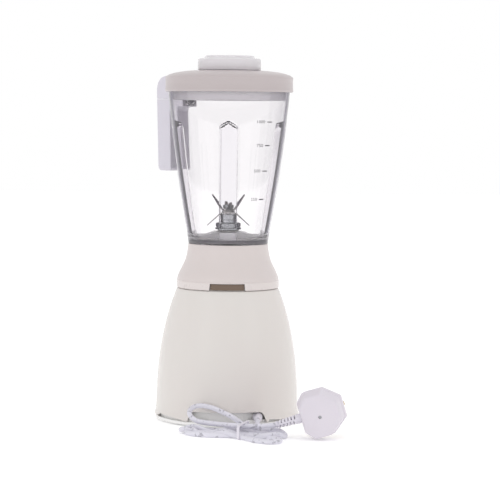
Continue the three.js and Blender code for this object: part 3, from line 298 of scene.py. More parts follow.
def wound(name, colour):
    """Enamelled winding wire laid side by side."""
    nodes = Nodes(name)
    nodes.set(Metallic=0.8, Coat_Weight=0.4, Coat_Roughness=0.2)
    wires = nodes.waves("DIAGONAL", 450, 1.5)
    dark = tuple(0.45 * c for c in colour)
    nodes.drive(nodes.blend(wires, dark, colour), "Base Color")
    nodes.drive(nodes.spread(nodes.noise(200, 3), 0.25, 0.45), "Roughness")
    nodes.bump(wires, 0.15, 0.7)
    return nodes.material


def cord_sheath():
    """Soft PVC with faint grey specks."""
    nodes = Nodes("cord_pvc")
    colour = linear(220, 218, 228)
    base = nodes.blend(nodes.spread(nodes.noise(60, 4), 0.0, 1.0), colour, tuple(0.9 * c for c in colour))
    specks = nodes.spread(nodes.noise(230, 2, 0.4), 0.0, 0.55, 0.6, 0.68)
    nodes.drive(nodes.blend(specks, base, linear(128, 126, 136)), "Base Color")
    nodes.drive(nodes.spread(nodes.noise(160, 3), 0.34, 0.5), "Roughness")
    nodes.bump(nodes.noise(1500, 2), 0.02, 0.4)
    return nodes.material


BODY_CREAM = linear(214, 210, 206)
MATERIALS = {
    "cream_plastic": moulded("cream_plastic", BODY_CREAM, linear(214, 207, 204), 0.24, soft=0.08),
    "neck_plastic": moulded("neck_plastic", linear(209, 200, 198), linear(205, 196, 195), 0.3, soft=0.08),
    # Painted shade: this dark tan-brown, worn by the notch panel, stands for the shadowed recess behind the neck's
    # notch.
    "tan_plastic": moulded("tan_plastic", linear(112, 94, 80), linear(96, 80, 68), 0.45),
    "white_plastic": moulded("white_plastic", linear(238, 237, 236), None, 0.32),
    "lid_plastic": moulded("lid_plastic", linear(186, 177, 177), linear(184, 174, 175), 0.32, 0.004, soft=0.1),
    "plug_plastic": moulded("plug_plastic", linear(217, 211, 219), linear(212, 206, 215), 0.3, soft=0.06),
    "milky_plastic": milky("milky_plastic", linear(220, 216, 226), 0.12),
    "clear_jar": clear_plastic("clear_jar", (0.74, 0.68, 0.82), 9.0),
    "dark_insert": moulded("dark_insert", linear(60, 54, 84), linear(40, 36, 60), 0.16),
    "black_plastic": moulded("black_plastic", linear(38, 38, 41), linear(30, 30, 32), 0.45),
    "grey_rubber": rubber("grey_rubber", linear(92, 92, 95)),
    "white_rubber": rubber("white_rubber", linear(226, 223, 222), 0.55),
    "cord_pvc": cord_sheath(),
    "pin_brass": brushed("pin_brass", linear(214, 178, 108), 0.22),
    "screw_steel": brushed("screw_steel", linear(178, 180, 184), 0.3, (1, 1, 1)),
    "shaft_steel": brushed("shaft_steel", linear(190, 192, 196), 0.18, (1, 1, 30)),
    "bracket_steel": brushed("bracket_steel", linear(160, 163, 168), 0.4, (1, 8, 1)),
    "blade_steel": brushed("blade_steel", linear(196, 192, 190), 0.2, (1, 14, 1), 700),
    "lamination_steel": laminated("lamination_steel", linear(92, 94, 100)),
    "bearing_bronze": brushed("bearing_bronze", linear(176, 138, 88), 0.4, (1, 1, 1), 900, 0.03),
    "copper_winding": wound("copper_winding", linear(196, 110, 58)),
    "commutator_copper": brushed("commutator_copper", linear(204, 124, 76), 0.2, (1, 1, 20)),
    "carbon": rubber("carbon", linear(52, 52, 54), 0.6),
    # Painted light: the lid's plug ring is painted near-white so that it looks lit although it sits in shade inside
    # the jar.
    "lid_ring_painted_light": moulded("lid_ring_painted_light", linear(253, 248, 254), linear(250, 245, 251), 0.2, soft=0.1),
    # Painted light: the upright band is a slightly lighter copy of the neck plastic, for the light it catches beside
    # the flared neck.
    "neck_band_painted_light": moulded("neck_band_painted_light", linear(214, 206, 204), linear(210, 202, 200), 0.28, soft=0.08),
    "jar_floor": milky("jar_floor", linear(254, 251, 254), 0.2, 0.12),
    "cap_clear": milky("cap_clear", linear(254, 250, 254), 0.3, 0.1),
    "relief_pvc": moulded("relief_pvc", linear(222, 218, 226), linear(214, 210, 220), 0.4),
    "scale_ink": moulded("scale_ink", linear(70, 66, 72), None, 0.5),
}


# ---------- mesh tools ----------

def soften(corners, closed=False, steps=4):
    """Rounds an outline's corners. A corner is (x, y) or (x, y, radius); the ends of an open outline stay sharp."""
    result = []
    count = len(corners)
    for index, corner in enumerate(corners):
        here = Vector(corner[:2])
        radius = corner[2] if len(corner) > 2 else 0
        at_end = not closed and index in (0, count - 1)
        if radius == 0 or at_end:
            result.append(tuple(here))
            continue
        back = Vector(corners[index - 1][:2]) - here
        ahead = Vector(corners[(index + 1) % count][:2]) - here
        reach = min(radius / math.tan(back.angle(ahead) / 2), 0.49 * back.length, 0.49 * ahead.length)
        start, end = here + back.normalized() * reach, here + ahead.normalized() * reach
        for step in range(steps + 1):
            share = step / steps
            result.append(tuple(start.lerp(here, share).lerp(here.lerp(end, share), share)))
    return result


def circle(radius, height, sides):
    """One ring of a turned shape. A ring with no radius is one point."""
    if radius < 1e-6:
        return [(0, 0, height)]
    turn = 2 * math.pi / sides
    return [(radius * math.cos(i * turn), radius * math.sin(i * turn), height) for i in range(sides)]


def skin(rings, closed=False):
    """A closed mesh over rings of points, in millimetres. Each ring goes once round, or is one point at an end."""
    mesh = bmesh.new()
    rows = [[mesh.verts.new(Vector(point) * MM) for point in ring] for ring in rings]
    pairs = list(zip(rows, rows[1:] + rows[:1])) if closed else list(zip(rows, rows[1:]))
    for low, high in pairs:
        count = max(len(low), len(high))
        for i in range(count):
            j = (i + 1) % count
            corners = [low[i % len(low)], low[j % len(low)], high[j % len(high)], high[i % len(high)]]
            face = [v for k, v in enumerate(corners) if v not in corners[:k]]
            if len(face) > 2:
                mesh.faces.new(face)
    if not closed:
        for row, turned in ((rows[0], True), (rows[-1], False)):
            if len(row) > 1:
                mesh.faces.new(row[::-1] if turned else row)
    bmesh.ops.recalc_face_normals(mesh, faces=mesh.faces)
    return mesh


def turned(corners, sides=96, closed=False, steps=4):
    """A shape turned about the Z axis from corners of (radius, height) or (radius, height, rounding)."""
    return skin([circle(r, z, sides) for r, z in soften(corners, closed, steps)], closed)


def peg(radius, bottom, top, sides=48):
    """A plain round rod on the Z axis."""
    return turned([(0, bottom), (radius, bottom), (radius, top), (0, top)], sides)


def slab(outline, bottom, top):
    """A flat outline pushed up from one height to another."""
    return skin([[(x, y, bottom) for x, y in outline], [(x, y, top) for x, y in outline]])


def rounded_box(low, high, bevel=0.0, segments=3):
    mesh = bmesh.new()
    bmesh.ops.create_cube(mesh, size=1.0)
    low, high = Vector(low), Vector(high)
    for vertex in mesh.verts:
        vertex.co = (low + Vector([(h - l) * (c + 0.5) for l, h, c in zip(low, high, vertex.co)])) * MM
    if bevel:
        bmesh.ops.bevel(mesh, geom=mesh.edges[:], offset=bevel * MM, segments=segments, affect="EDGES", profile=0.5)
    return mesh


def moved(mesh, matrix):
    bmesh.ops.transform(mesh, matrix=matrix, verts=mesh.verts)
    return mesh


def shifted(mesh, x, y, z):
    return moved(mesh, Matrix.Translation(Vector((x, y, z)) * MM))


def spun(mesh, degrees, axis="Z"):
    return moved(mesh, Matrix.Rotation(math.radians(degrees), 4, axis))


def facing_back(mesh):
    """Lays an upright mesh down so that its +Z points along +Y."""
    return spun(mesh, -90, "X")


def merged(*meshes):
    """Several meshes as one."""
    whole = meshes[0]
    for other in meshes[1:]:
        data = bpy.data.meshes.new("part")
        other.to_mesh(data)
        whole.from_mesh(data)
        bpy.data.meshes.remove(data)
        other.free()
    return whole


def stand(name, mesh):
    """Puts a bmesh in the scene as an object."""
    data = bpy.data.meshes.new(name)
    mesh.to_mesh(data)
    mesh.free()
    return link(name, data)


def settle_modifiers(thing):
    """Turns what the object's modifiers make into its own mesh."""
    graph = bpy.context.evaluated_depsgraph_get()
    data = bpy.data.meshes.new_from_object(thing.evaluated_get(graph))
    thing.modifiers.clear()
    thing.data = data


def taken(thing):
    """The object's mesh as a bmesh. The object goes."""
    result = bmesh.new()
    result.from_mesh(thing.data)
    bpy.data.objects.remove(thing)
    return result


def bevel_edges(thing, width, segments, angle):
    modifier = thing.modifiers.new("edges", "BEVEL")
    modifier.width = width * MM
    modifier.segments = segments
    modifier.limit_method = "ANGLE"
    modifier.angle_limit = math.radians(angle)


def combine(mesh, others, operation):
    """A bmesh cut by others, or joined to them, as the operation says."""
    thing = stand("work", mesh)
    tools = [stand("tool", other) for other in others]
    for tool in tools:
        modifier = thing.modifiers.new("join", "BOOLEAN")
        modifier.operation = operation
        modifier.solver = "EXACT"
        modifier.object = tool
    settle_modifiers(thing)
    for tool in tools:
        bpy.data.objects.remove(tool)
    return taken(thing)


def cut(mesh, *others):
    return combine(mesh, others, "DIFFERENCE")


def join(mesh, *others):
    return combine(mesh, others, "UNION")


def bevelled(mesh, width, segments=3, angle=35):
    thing = stand("work", mesh)
    bevel_edges(thing, width, segments, angle)
    settle_modifiers(thing)
    return taken(thing)


def piece(name, mesh, slot, body, *nodes, sharp=35, material=None):
    """A finished piece, smooth but for sharp edges, in its slot's material, on its body and for its CAD nodes."""
    thing = stand(name, mesh)
    thing.data.materials.append(material or MATERIALS[slot])
    thing.data.shade_smooth()
    thing.data.set_sharp_from_angle(angle=math.radians(sharp))
    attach(thing, body)
    if nodes:
        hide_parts(*nodes)
    return thing


def repaint(thing, name, wanted):
    """Gives another material to the faces whose middle is wanted, by its radius and height in millimetres."""
    thing.data.materials.append(MATERIALS[name])
    last = len(thing.data.materials) - 1
    for face in thing.data.polygons:
        middle = face.center / MM
        if wanted(math.hypot(middle.x, middle.y), middle.z):
            face.material_index = last
    return thing


# ---------- the mains cord ----------

CORD_RADIUS = 2.5
CORD_PITCH = 2.5  # between the points that the cord settles with
TIE_ALONG = 9  # the tie's place along the hank
TIE_WIDTH = 2.6
EXIT_ROUTE = [
    (32, -83.6, 10.5), (32, -88, 10.1), (31.8, -92.8, 7.9), (31, -97, 5.2), (29.9, -101, 3.4), (28.6, -104.2, 2.9),
]
LOOP_ROUTE = [
    (23.2, -101, 4.9), (18.6, -97.8, 7.6), (13.9, -94.6, 10.6), (6.5, -88.6, 14.6), (-4.7, -80.6, 18.8),
    (-15, -76.2, 22.4), (-24.9, -74, 24), (-33, -76.2, 22.8), (-37, -84, 19.2), (-35.2, -92.4, 15),
    (-29.2, -98.8, 11.8), (-22.6, -102.6, 11.1),
]
LEAD_ROUTE = [(18, -120.6, 10.9), (29, -122.2, 11), (40, -124, 11.6), (49.1, -125.5, 12.5)]
GLAND_AT = (32, -83, 10.5)
RELIEF_END = (50.45, -125.7, 12.65)
HANK_CENTRE = (9.5, -119.5)
HANK_ANGLE = -15
HANK_STRAIGHT = 38  # half of a run, from the middle to where a fold starts
FOLD_RADIUS = 15.5
TAIL_START = (14, -139)
TAIL_END = (46, -159.5)
TAIL_FOLD = 12
SKIRT_RADIUS = 75.4


def on_hank(along, across, height):
    """A point from its place along and across the hank. Across grows towards the base."""
    turn = math.radians(HANK_ANGLE)
    x = HANK_CENTRE[0] + along * math.cos(turn) - across * math.sin(turn)
    y = HANK_CENTRE[1] + along * math.sin(turn) + across * math.cos(turn)
    return (x, y, height)


def fold(side, radius, height, turn_steps=5, shift=0.0):
    """The bend at one end of the hank, followed anticlockwise. Side is -1 for the left end and 1 for the right."""
    start = 90 if side < 0 else -90
    points = []
    for step in range(turn_steps + 1):
        angle = math.radians(start + 180 * step / turn_steps)
        along = side * HANK_STRAIGHT + radius * math.cos(angle) + shift
        points.append(on_hank(along, radius * math.sin(angle), height))
    return points


def tail_loop():
    """The flat loop that strays to the front, out along its far side and back along its near side."""
    start, end = Vector(TAIL_START), Vector(TAIL_END)
    along = (end - start).normalized()
    left = Vector((-along.y, along.x))
    floor = CORD_RADIUS + 0.1
    points = [start - left * TAIL_FOLD * 0.9, start.lerp(end, 0.5) - left * TAIL_FOLD]
    for step in range(5):
        angle = math.radians(-90 + 45 * step)
        points.append(end + along * TAIL_FOLD * math.cos(angle) + left * TAIL_FOLD * math.sin(angle))
    points += [start.lerp(end, 0.5) + left * TAIL_FOLD]
    return [(p.x, p.y, floor) for p in points]


def cord_points():
    """The cord's route from the base to the plug, and how firmly each point holds its place."""
    low, high = 2.8, 7.6
    hank = [(25.2, -110.6, low), (18.5, -114.2, low), (10.5, -114, low), on_hank(-16, 10.5, low)]
    hank += fold(-1, FOLD_RADIUS, low) + [on_hank(0, -FOLD_RADIUS, low)] + fold(1, FOLD_RADIUS, low)
    hank += [on_hank(8, 9, low), on_hank(-14, 8.5, low)]
    hank += fold(-1, 14, high, shift=2) + [on_hank(-12, -13, high), on_hank(2, -19, 6)]
    tail = tail_loop() + [on_hank(-2, -8, high), on_hank(-22, 0, 9)]
    small_loop = [(-32, -99, 9), (-41, -95, 8), (-48, -99, 6.5), (-48, -108, 5.5), (-39, -112.5, 6)]
    last = [on_hank(-20, -5, 8.5), on_hank(0, -4, 9), on_hank(20, -8, 9)] + fold(1, 13.5, high, shift=4)
    last += [on_hank(28, 14.5, 7)]
    lead = [(-10, -109, 10.9), (4, -116.5, 10.9)] + LEAD_ROUTE
    soft, firm = 0.0, 0.6
    sections = [
        ([(32, -81, 10.5)] + EXIT_ROUTE, 1.0), (hank, soft), (tail, 0.02), (small_loop, 0.03), (last, soft),
        (LOOP_ROUTE, firm), (lead, 0.3), ([RELIEF_END, (54.2, -126.5, 13.9)], 1.0),
    ]
    points = [Vector(p) for section, _ in sections for p in section]
    holds = [hold for section, hold in sections for _ in section]
    return points, holds


def spaced(points, holds, pitch):
    """A smooth line through the points as places an even pitch apart, with the holds carried over."""
    knots = np.array([tuple(p) for p in points])
    before = np.vstack([2 * knots[0] - knots[1], knots, 2 * knots[-1] - knots[-2]])
    dense, dense_holds = [], []
    for i in range(len(knots) - 1):
        a, b, c, d = before[i:i + 4]
        for share in np.linspace(0, 1, 24, endpoint=False):
            square, cube = share ** 2, share ** 3
            dense.append(0.5 * (2 * b + (c - a) * share + (2 * a - 5 * b + 4 * c - d) * square
                                + (3 * b - a - 3 * c + d) * cube))
            dense_holds.append(holds[i] + (holds[i + 1] - holds[i]) * share)
    dense.append(knots[-1])
    dense_holds.append(holds[-1])
    dense = np.array(dense)
    travelled = np.concatenate([[0], np.cumsum(np.linalg.norm(np.diff(dense, axis=0), axis=1))])
    count = int(round(travelled[-1] / pitch)) + 1
    stops = np.linspace(0, travelled[-1], count)
    places = np.stack([np.interp(stops, travelled, dense[:, axis]) for axis in range(3)], axis=1)
    return places, np.interp(stops, travelled, dense_holds)


def evened(places, free, width):
    """The places smoothed along the cord over a few neighbours each way, where they are free to move."""
    half = round(3 * width)
    reach = np.arange(-half, half + 1)
    weights = np.exp(-0.5 * (reach / width) ** 2)
    weights /= weights.sum()
    padded = np.pad(places, ((half, half), (0, 0)), mode="reflect", reflect_type="odd")
    smooth = np.stack([np.convolve(padded[:, axis], weights, "valid") for axis in range(3)], axis=1)
    return places + (smooth - places) * free


def let_drop(places, holds, rounds=150):
    """Lets the cord fall on the floor and on itself. It keeps its length, resists bending and leans on the base."""
    pitch = np.linalg.norm(np.diff(places, axis=0), axis=1).mean()
    home = places.copy()
    free = (1 - holds)[:, None]
    apart = 2 * CORD_RADIUS
    first, second = np.triu_indices(len(places), 6)
    near = np.arange(len(first))
    turn = math.radians(HANK_ANGLE)
    along = np.array([math.cos(turn), math.sin(turn)])
    across = np.array([-math.sin(turn), math.cos(turn)])
    for step_index in range(rounds):
        places[:, 2] -= 0.1 * free[:, 0]
        places = evened(places, 0.12 * free, 1.5)
        offset = places[:, :2] - np.array(HANK_CENTRE)
        at_tie = np.clip(1 - np.abs(offset @ along - TIE_ALONG) / 18, 0, 1) * (places[:, 2] < 14) * free[:, 0]
        places[:, :2] -= (0.012 * at_tie * (offset @ across))[:, None] * across
        if step_index % 8 == 0:
            gaps = np.linalg.norm(places[first] - places[second], axis=1)
            near = np.nonzero(gaps < 3 * apart)[0]
        a, b = first[near], second[near]
        for _ in range(8):
            step = np.diff(places, axis=0)
            length = np.linalg.norm(step, axis=1, keepdims=True)
            pull = step * (0.5 * (length - pitch) / length)
            places[:-1] += pull * free[:-1]
            places[1:] -= pull * free[1:]
            between = places[a] - places[b]
            gap = np.linalg.norm(between, axis=1, keepdims=True)
            push = between * (0.3 * np.clip(apart - gap, 0, None) / gap)
            np.add.at(places, a, push * np.clip(free[a] + 0.1, 0, 1))
            np.add.at(places, b, -push * np.clip(free[b] + 0.1, 0, 1))
            places[:, 2] = np.maximum(places[:, 2], CORD_RADIUS + 0.05)
            out = np.hypot(places[:, 0], places[:, 1])
            clear = SKIRT_RADIUS + CORD_RADIUS + 0.2
            inside = (out < clear) & (places[:, 2] < 60) & (holds < 0.9)
            places[inside, :2] *= (clear / out[inside])[:, None]
        places = places * (1 - 0.5 * holds[:, None]) + home * 0.5 * holds[:, None]
    places = evened(places, free, 2.5)
    places[:, 2] = np.maximum(places[:, 2], CORD_RADIUS + 0.05)
    return places


def mains_cord():
    places, holds = spaced(*cord_points(), CORD_PITCH)
    places = let_drop(places, holds)
    data = bpy.data.curves.new("mains_cord", "CURVE")
    data.dimensions = "3D"
    data.bevel_depth = CORD_RADIUS * MM
    data.bevel_resolution = 5
    data.resolution_u = 3
    data.use_fill_caps = True
    spline = data.splines.new("NURBS")
    spline.points.add(len(places) - 1)
    for point, place in zip(spline.points, places):
        point.co = (*(place * MM), 1)
    spline.order_u = 4
    spline.use_endpoint_u = True
    cord = link("mains_cord_line", data)
    data.materials.append(MATERIALS["cord_pvc"])
    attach(cord, "base")
    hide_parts("mains_cord", "cord_loop", "cord_lead", "cord_hank")
    length = float(np.linalg.norm(np.diff(places, axis=0), axis=1).sum()) * MM
    print("cord length", round(length, 4))
    return places


# ---------- plug and its strain relief ----------

PLUG_CENTRE = (94.3, -135, 26.8)
PLUG_YAW, PLUG_ROLL = 12, 17.5  # degrees
PLUG_HALF_LENGTH, PLUG_HALF_WIDTH, PLUG_THICKNESS = 22, 23.5, 22
RELIEF_LENGTH = 25


def on_plug(mesh):
    """Moves a shape from the plug's own axes (along, across, towards the front) to where the plug leans."""
    yaw, roll = math.radians(PLUG_YAW), math.radians(PLUG_ROLL)
    right = Vector((math.cos(yaw), -math.sin(yaw), 0))
    up = Vector((0, 0, 1))
    along = right * math.cos(roll) + up * math.sin(roll)
    across = up * math.cos(roll) - right * math.sin(roll)
    turn = Matrix((along, across, along.cross(across))).transposed().to_4x4()
    return moved(mesh, Matrix.Translation(Vector(PLUG_CENTRE) * MM) @ turn)


def plug_outline(inset, rounding=3.0, shift=(0, 0)):
    x, y = PLUG_HALF_LENGTH - inset, PLUG_HALF_WIDTH - inset
    corners = [
        (-x, -y + 8.5), (-x + 8, -y), (6, -y), (x, -y / 2 + 1), (x, y / 2 - 1), (6, y), (-x + 8, y), (-x, y - 8.5),
    ]
    return soften([(a + shift[0], b + shift[1], rounding) for a, b in corners], closed=True, steps=4)


def plug():
    half = PLUG_THICKNESS / 2
    levels = [
        (1.2, -half, 0), (0.3, -half + 0.7, 0), (0, -half + 1.6, 0), (0, -2.6, 0), (0.5, -1.9, 0), (0.9, -1.7, 0),
        (1.0, -1.2, -0.1), (1.4, 2, -0.6), (2.2, 6.4, -1.6), (2.9, 9.4, -2.4), (3.6, 10.5, -2.9), (4.8, half, -3.2),
    ]
    body = skin([[(x, y, z) for x, y in plug_outline(inset, shift=(0, low))] for inset, z, low in levels])
    socket = shifted(spun(peg(4.6, 0, 6, 32), 90, "Y"), -PLUG_HALF_LENGTH - 3, 0, 0)
    screw_hole = peg(1.6, 9.6, 14, 24)
    body = cut(body, socket, shifted(screw_hole, -0.5, -3.2, 0))
    piece("plug_shell", on_plug(body), "plug_plastic", "base", "plug_body", sharp=40)
    screw = turned([(0, 9.7), (1.45, 9.7), (1.45, 10.3), (1.2, 10.5), (0, 10.5)], 24)
    screw = cut(screw, rounded_box((-2, -0.25, 10.1), (2, 0.25, 12)))
    piece("plug_screw", on_plug(shifted(screw, -0.5, -3.2, 0)), "screw_steel", "base")
    for name, x, y, length, height, width in (
        ("earth", 14.2, 0, 22.7, 7.9, 4), ("live", -8, -11.1, 17.7, 4, 6.35), ("neutral", -8, 11.1, 17.7, 4, 6.35),
    ):
        root = -half - 0.3
        low, high = (x - height / 2, y - width / 2, root - length), (x + height / 2, y + width / 2, root)
        pin = rounded_box(low, high, 0.5)
        piece(f"pin_{name}", on_plug(pin), "pin_brass", "base", f"plug_pin_{name}")


def strain_relief():
    """A tapered sleeve that is slotted by turns on its two sides, so that it can flex."""
    start, end = PLUG_HALF_LENGTH - 2.6, PLUG_HALF_LENGTH + RELIEF_LENGTH
    sleeve = turned([
        (2.6, start), (4.3, start), (4.9, PLUG_HALF_LENGTH + 1.2), (4.7, PLUG_HALF_LENGTH + 4),
        (3.6, end - 1), (3.2, end), (2.6, end),
    ], 48, closed=True)
    slots = []
    for index in range(6):
        middle = PLUG_HALF_LENGTH + 4.6 + 3.5 * index
        slots.append(rounded_box((-6, 0.9, middle - 0.75), (6, 6, middle + 0.75), 0.2, 1))
        slots.append(rounded_box((-6, -6, middle + 1.0), (6, -0.9, middle + 2.5), 0.2, 1))
    sleeve = spun(cut(sleeve, *slots), -90, "Y")
    piece("relief_sleeve", on_plug(sleeve), "cord_pvc", "base", "plug_strain_relief",
          material=MATERIALS["relief_pvc"])


def cord_gland():
    gland = turned([
        (0, 48), (3.4, 48), (3.4, 61.3), (5, 61.3), (5, 62.9), (4.7, 63.4), (4.1, 64), (3.9, 66), (3.1, 82.4),
        (2.9, 83), (0, 83),
    ], 48)
    gland = shifted(spun(gland, 90, "X"), GLAND_AT[0], 0, GLAND_AT[2])
    piece("gland_sleeve", gland, "cord_pvc", "base", "cord_gland", material=MATERIALS["relief_pvc"])


def cord_tie(places):
    """A flat strap round the hank, sized to the strands that pass through it."""
    turn = math.radians(HANK_ANGLE)
    local = places[:, :2] - np.array(HANK_CENTRE)
    along = local @ np.array([math.cos(turn), math.sin(turn)])
    across = local @ np.array([-math.sin(turn), math.cos(turn)])
    held = (np.abs(along - TIE_ALONG) < 3) & (np.abs(across) < 19) & (places[:, 2] < 12.5)
    low, high = across[held].min() - CORD_RADIUS, across[held].max() + CORD_RADIUS
    top = places[held, 2].max() + CORD_RADIUS + 0.2
    outer = soften([(low - 0.9, 0.05, 2), (high + 0.9, 0.05, 2), (high + 0.9, top + 0.8, 4),
                    (low - 0.9, top + 0.8, 4)], closed=True, steps=6)
    inner = soften([(low, 0.6, 2), (high, 0.6, 2), (high, top, 3.4), (low, top, 3.4)], closed=True, steps=6)
    half = TIE_WIDTH / 2
    rings = [[(side, a, b) for a, b in shape] for shape, side in
             ((outer, -half), (outer, half), (inner, half), (inner, -half))]
    strap = spun(shifted(skin(rings, closed=True), TIE_ALONG, 0, 0), HANK_ANGLE)
    strap = shifted(strap, HANK_CENTRE[0], HANK_CENTRE[1], 0)
    piece("cord_tie", strap, "cord_pvc", "base", material=MATERIALS["relief_pvc"])


add_camera()
add_studio()
plug()
strain_relief()
SETTLED = mains_cord()
cord_gland()
cord_tie(SETTLED)


# ---------- base ----------

BODY_BOTTOM = 5.6  # the skirt's lower edge, just above the base plate
BODY_TOP = 137.5
SKIRT_Z = 6.5
BODY_WALL = 2.6
ARCH_CENTRE = 1
KNOB_Z = 48
SCREW_CIRCLE, FOOT_CIRCLE = 52, 60


def polar(radius, degrees):
    return radius * math.cos(math.radians(degrees)), radius * math.sin(math.radians(degrees))


def body_radius(z):
    taper = 21.1 * (max(z, 0) / BODY_TOP) ** 2.6
    return 73.9 - taper + 1.5 * max(0, 1 - (z - SKIRT_Z) / 9) ** 2


def steps_between(low, high, count):
    return [low + (high - low) * i / count for i in range(count + 1)]


def upright(outline, front, back):
    """A shape drawn in X and Z, pushed along Y from front to back."""
    return skin([[(x, front, z) for x, z in outline], [(x, back, z) for x, z in outline]])


def arch_outline(grow=0.0):
    foot, head, top = 44 + grow, 36 + grow, 16.2 + grow
    return soften([
        (ARCH_CENTRE - foot, -2), (ARCH_CENTRE + foot, -2), (ARCH_CENTRE + head, top, 6),
        (ARCH_CENTRE - head, top, 6),
    ], closed=True, steps=6)


def body_housing():
    outer = [(body_radius(z), z) for z in steps_between(BODY_BOTTOM + 0.8, BODY_TOP - 1.2, 40)]
    edge = body_radius(BODY_TOP)
    inner = [(body_radius(z) - BODY_WALL, z) for z in steps_between(BODY_TOP - BODY_WALL, SKIRT_Z, 16)]
    shell = turned([
        (body_radius(BODY_BOTTOM) - 0.8, BODY_BOTTOM), *outer, (edge - 0.3, BODY_TOP - 0.3), (edge - 1.2, BODY_TOP),
        (49.6, BODY_TOP), (49.6, 143), (47.3, 143), (47.3, BODY_TOP - BODY_WALL), *inner,
        (71.6, SKIRT_Z), (71.6, BODY_BOTTOM),
    ], 144, closed=True)
    arch = upright(arch_outline(), -85, -39)
    left_gap = upright([(-76, 4), (-43, 4), (-45, 6.4), (-58, 8.4), (-68, 8.9), (-71, 7)], -85, -20)
    right_gap = upright([(43, 4), (60, 4), (58, 6.2), (47, 8.2), (44, 8)], -85, -40)
    dial_hole = shifted(facing_back(peg(21.3, 60, 80)), 0, 0, KNOB_Z)
    shell = cut(shell, arch, left_gap, right_gap, dial_hole)
    return piece("body_shell", bevelled(shell, 0.5, 2, 50), "cream_plastic", "base", "body_housing", sharp=40)


NECK_CURVE = [
    (53.0, 146.4), (52.4, 149), (51.2, 152.2), (49.8, 155.2), (48.2, 158.4), (46.7, 161.4), (45.3, 164.5),
    (44.2, 167.6), (43.3, 171), (42.6, 174.2), (42.1, 177.4), (41.8, 180.2), (41.6, 182.6),
]


def neck_housing():
    shell = turned([
        (52.7, 138), (53.3, 138.6), (53.3, 145.4), (52.8, 145.9), *NECK_CURVE, (41.1, 183.5), (38.2, 183.5),
        (38.2, 173.5), (9.5, 173.5), (9.5, 170.5), (40.2, 170.5), (42.6, 164.3), (45.6, 158), (48.6, 151.8),
        (50.2, 146), (50.2, 138),
    ], 144, closed=True)
    notch = upright([(-18.6, 137), (18.6, 137), (17.6, 145), (-17.6, 145)], -60, -40)
    keys = [spun(rounded_box((35.2, -2.5, 173), (39.2, 2.5, 181), 0.3, 1), 45 + 90 * i) for i in range(4)]
    shell = merged(cut(shell, notch), *keys)
    neck = piece("neck_shell", shell, "neck_plastic", "base", "neck_housing", sharp=40)
    # The upright band gets painted light: a slightly lighter copy of the neck plastic.
    return repaint(neck, "neck_band_painted_light", lambda radius, z: radius > 52 and z < 146)


def notch_panel():
    # The panel fills the notch with painted shade: its tan-brown stands for the shadowed recess behind the notch.
    arc = turned([(50, 138.5), (51.9, 138.5), (51.9, 144.5), (50, 144.5)], 144, closed=True)
    front = rounded_box((-17.1, -60, 138.4), (17.1, -40, 144.6), 0.5, 2)
    return piece("notch_shade_panel", combine(arc, [front], "INTERSECT"), "tan_plastic", "base", "notch_panel")


def base_plate():
    plate = turned([
        (0, 1.5), (73, 1.5), (74.2, 2.2), (74.6, 3.2), (74.4, 4.4), (73.8, 5), (70.8, 5), (70.8, 8), (69.6, 8),
        (69.6, 5), (0, 5),
    ], 144)
    wall = turned([(64.2, 4.2), (66.2, 4.2), (66.2, 19), (64.2, 19)], 144, closed=True)
    wall_front = rounded_box((ARCH_CENTRE - 45, -80, 4), (ARCH_CENTRE + 45, -30, 20))
    wall = combine(wall, [wall_front], "INTERSECT")
    tools = [shifted(upright(arch_outline(1), -80, -66.5), 0, 0, 7.1)]
    for angle in (90, 210, 330):
        x, y = polar(SCREW_CIRCLE, angle)
        tools.append(shifted(turned([(0, 0), (3.7, 0), (3.7, 4), (1.8, 4), (1.8, 9), (0, 9)], 32), x, y, 0))
    for index in range(4):
        tools.append(shifted(peg(7.8, 0, 3.4), *polar(FOOT_CIRCLE, 45 + 90 * index), 0))
    for index in range(8):
        slot = rounded_box((24, -1.8, 0), (44, 1.8, 7), 0)
        tools.append(spun(bevelled(slot, 1.7, 4, 80), 22.5 + 45 * index))
    plate = join(cut(plate, *tools), wall)
    gland_hole = shifted(facing_back(peg(3.8, -70, -50, 32)), 32, 0, 10.5)
    return piece("base_cover", cut(plate, gland_hole), "white_plastic", "base", "base_plate", sharp=40)


def foot(index):
    pad = turned([(0, 0), (6.2, 0), (7.1, 0.4), (7.5, 1.3), (7.5, 3.1), (0, 3.1)], 48)
    pad = shifted(pad, *polar(FOOT_CIRCLE, 45 + 90 * index), 0)
    return piece(f"foot_pad_{index + 1}", pad, "grey_rubber", "base", f"foot_{index + 1}")


def lettering(text, size, depth=0.15):
    """Flat raised text round its own middle, in the XY plane, in millimetres."""
    data = bpy.data.curves.new("lettering", "FONT")
    data.body = text
    data.size = size * MM
    data.extrude = depth * MM
    data.resolution_u = 2
    data.align_x, data.align_y = "CENTER", "CENTER"
    thing = link("lettering", data)
    settled = bpy.data.meshes.new_from_object(thing.evaluated_get(bpy.context.evaluated_depsgraph_get()))
    result = bmesh.new()
    result.from_mesh(settled)
    bpy.data.objects.remove(thing)
    return result


DIAL_TEXT = 4.2  # height of the setting marks
DIAL_CIRCLE = 18.2  # radius of the circle that they stand on
DIAL_STEP = 45


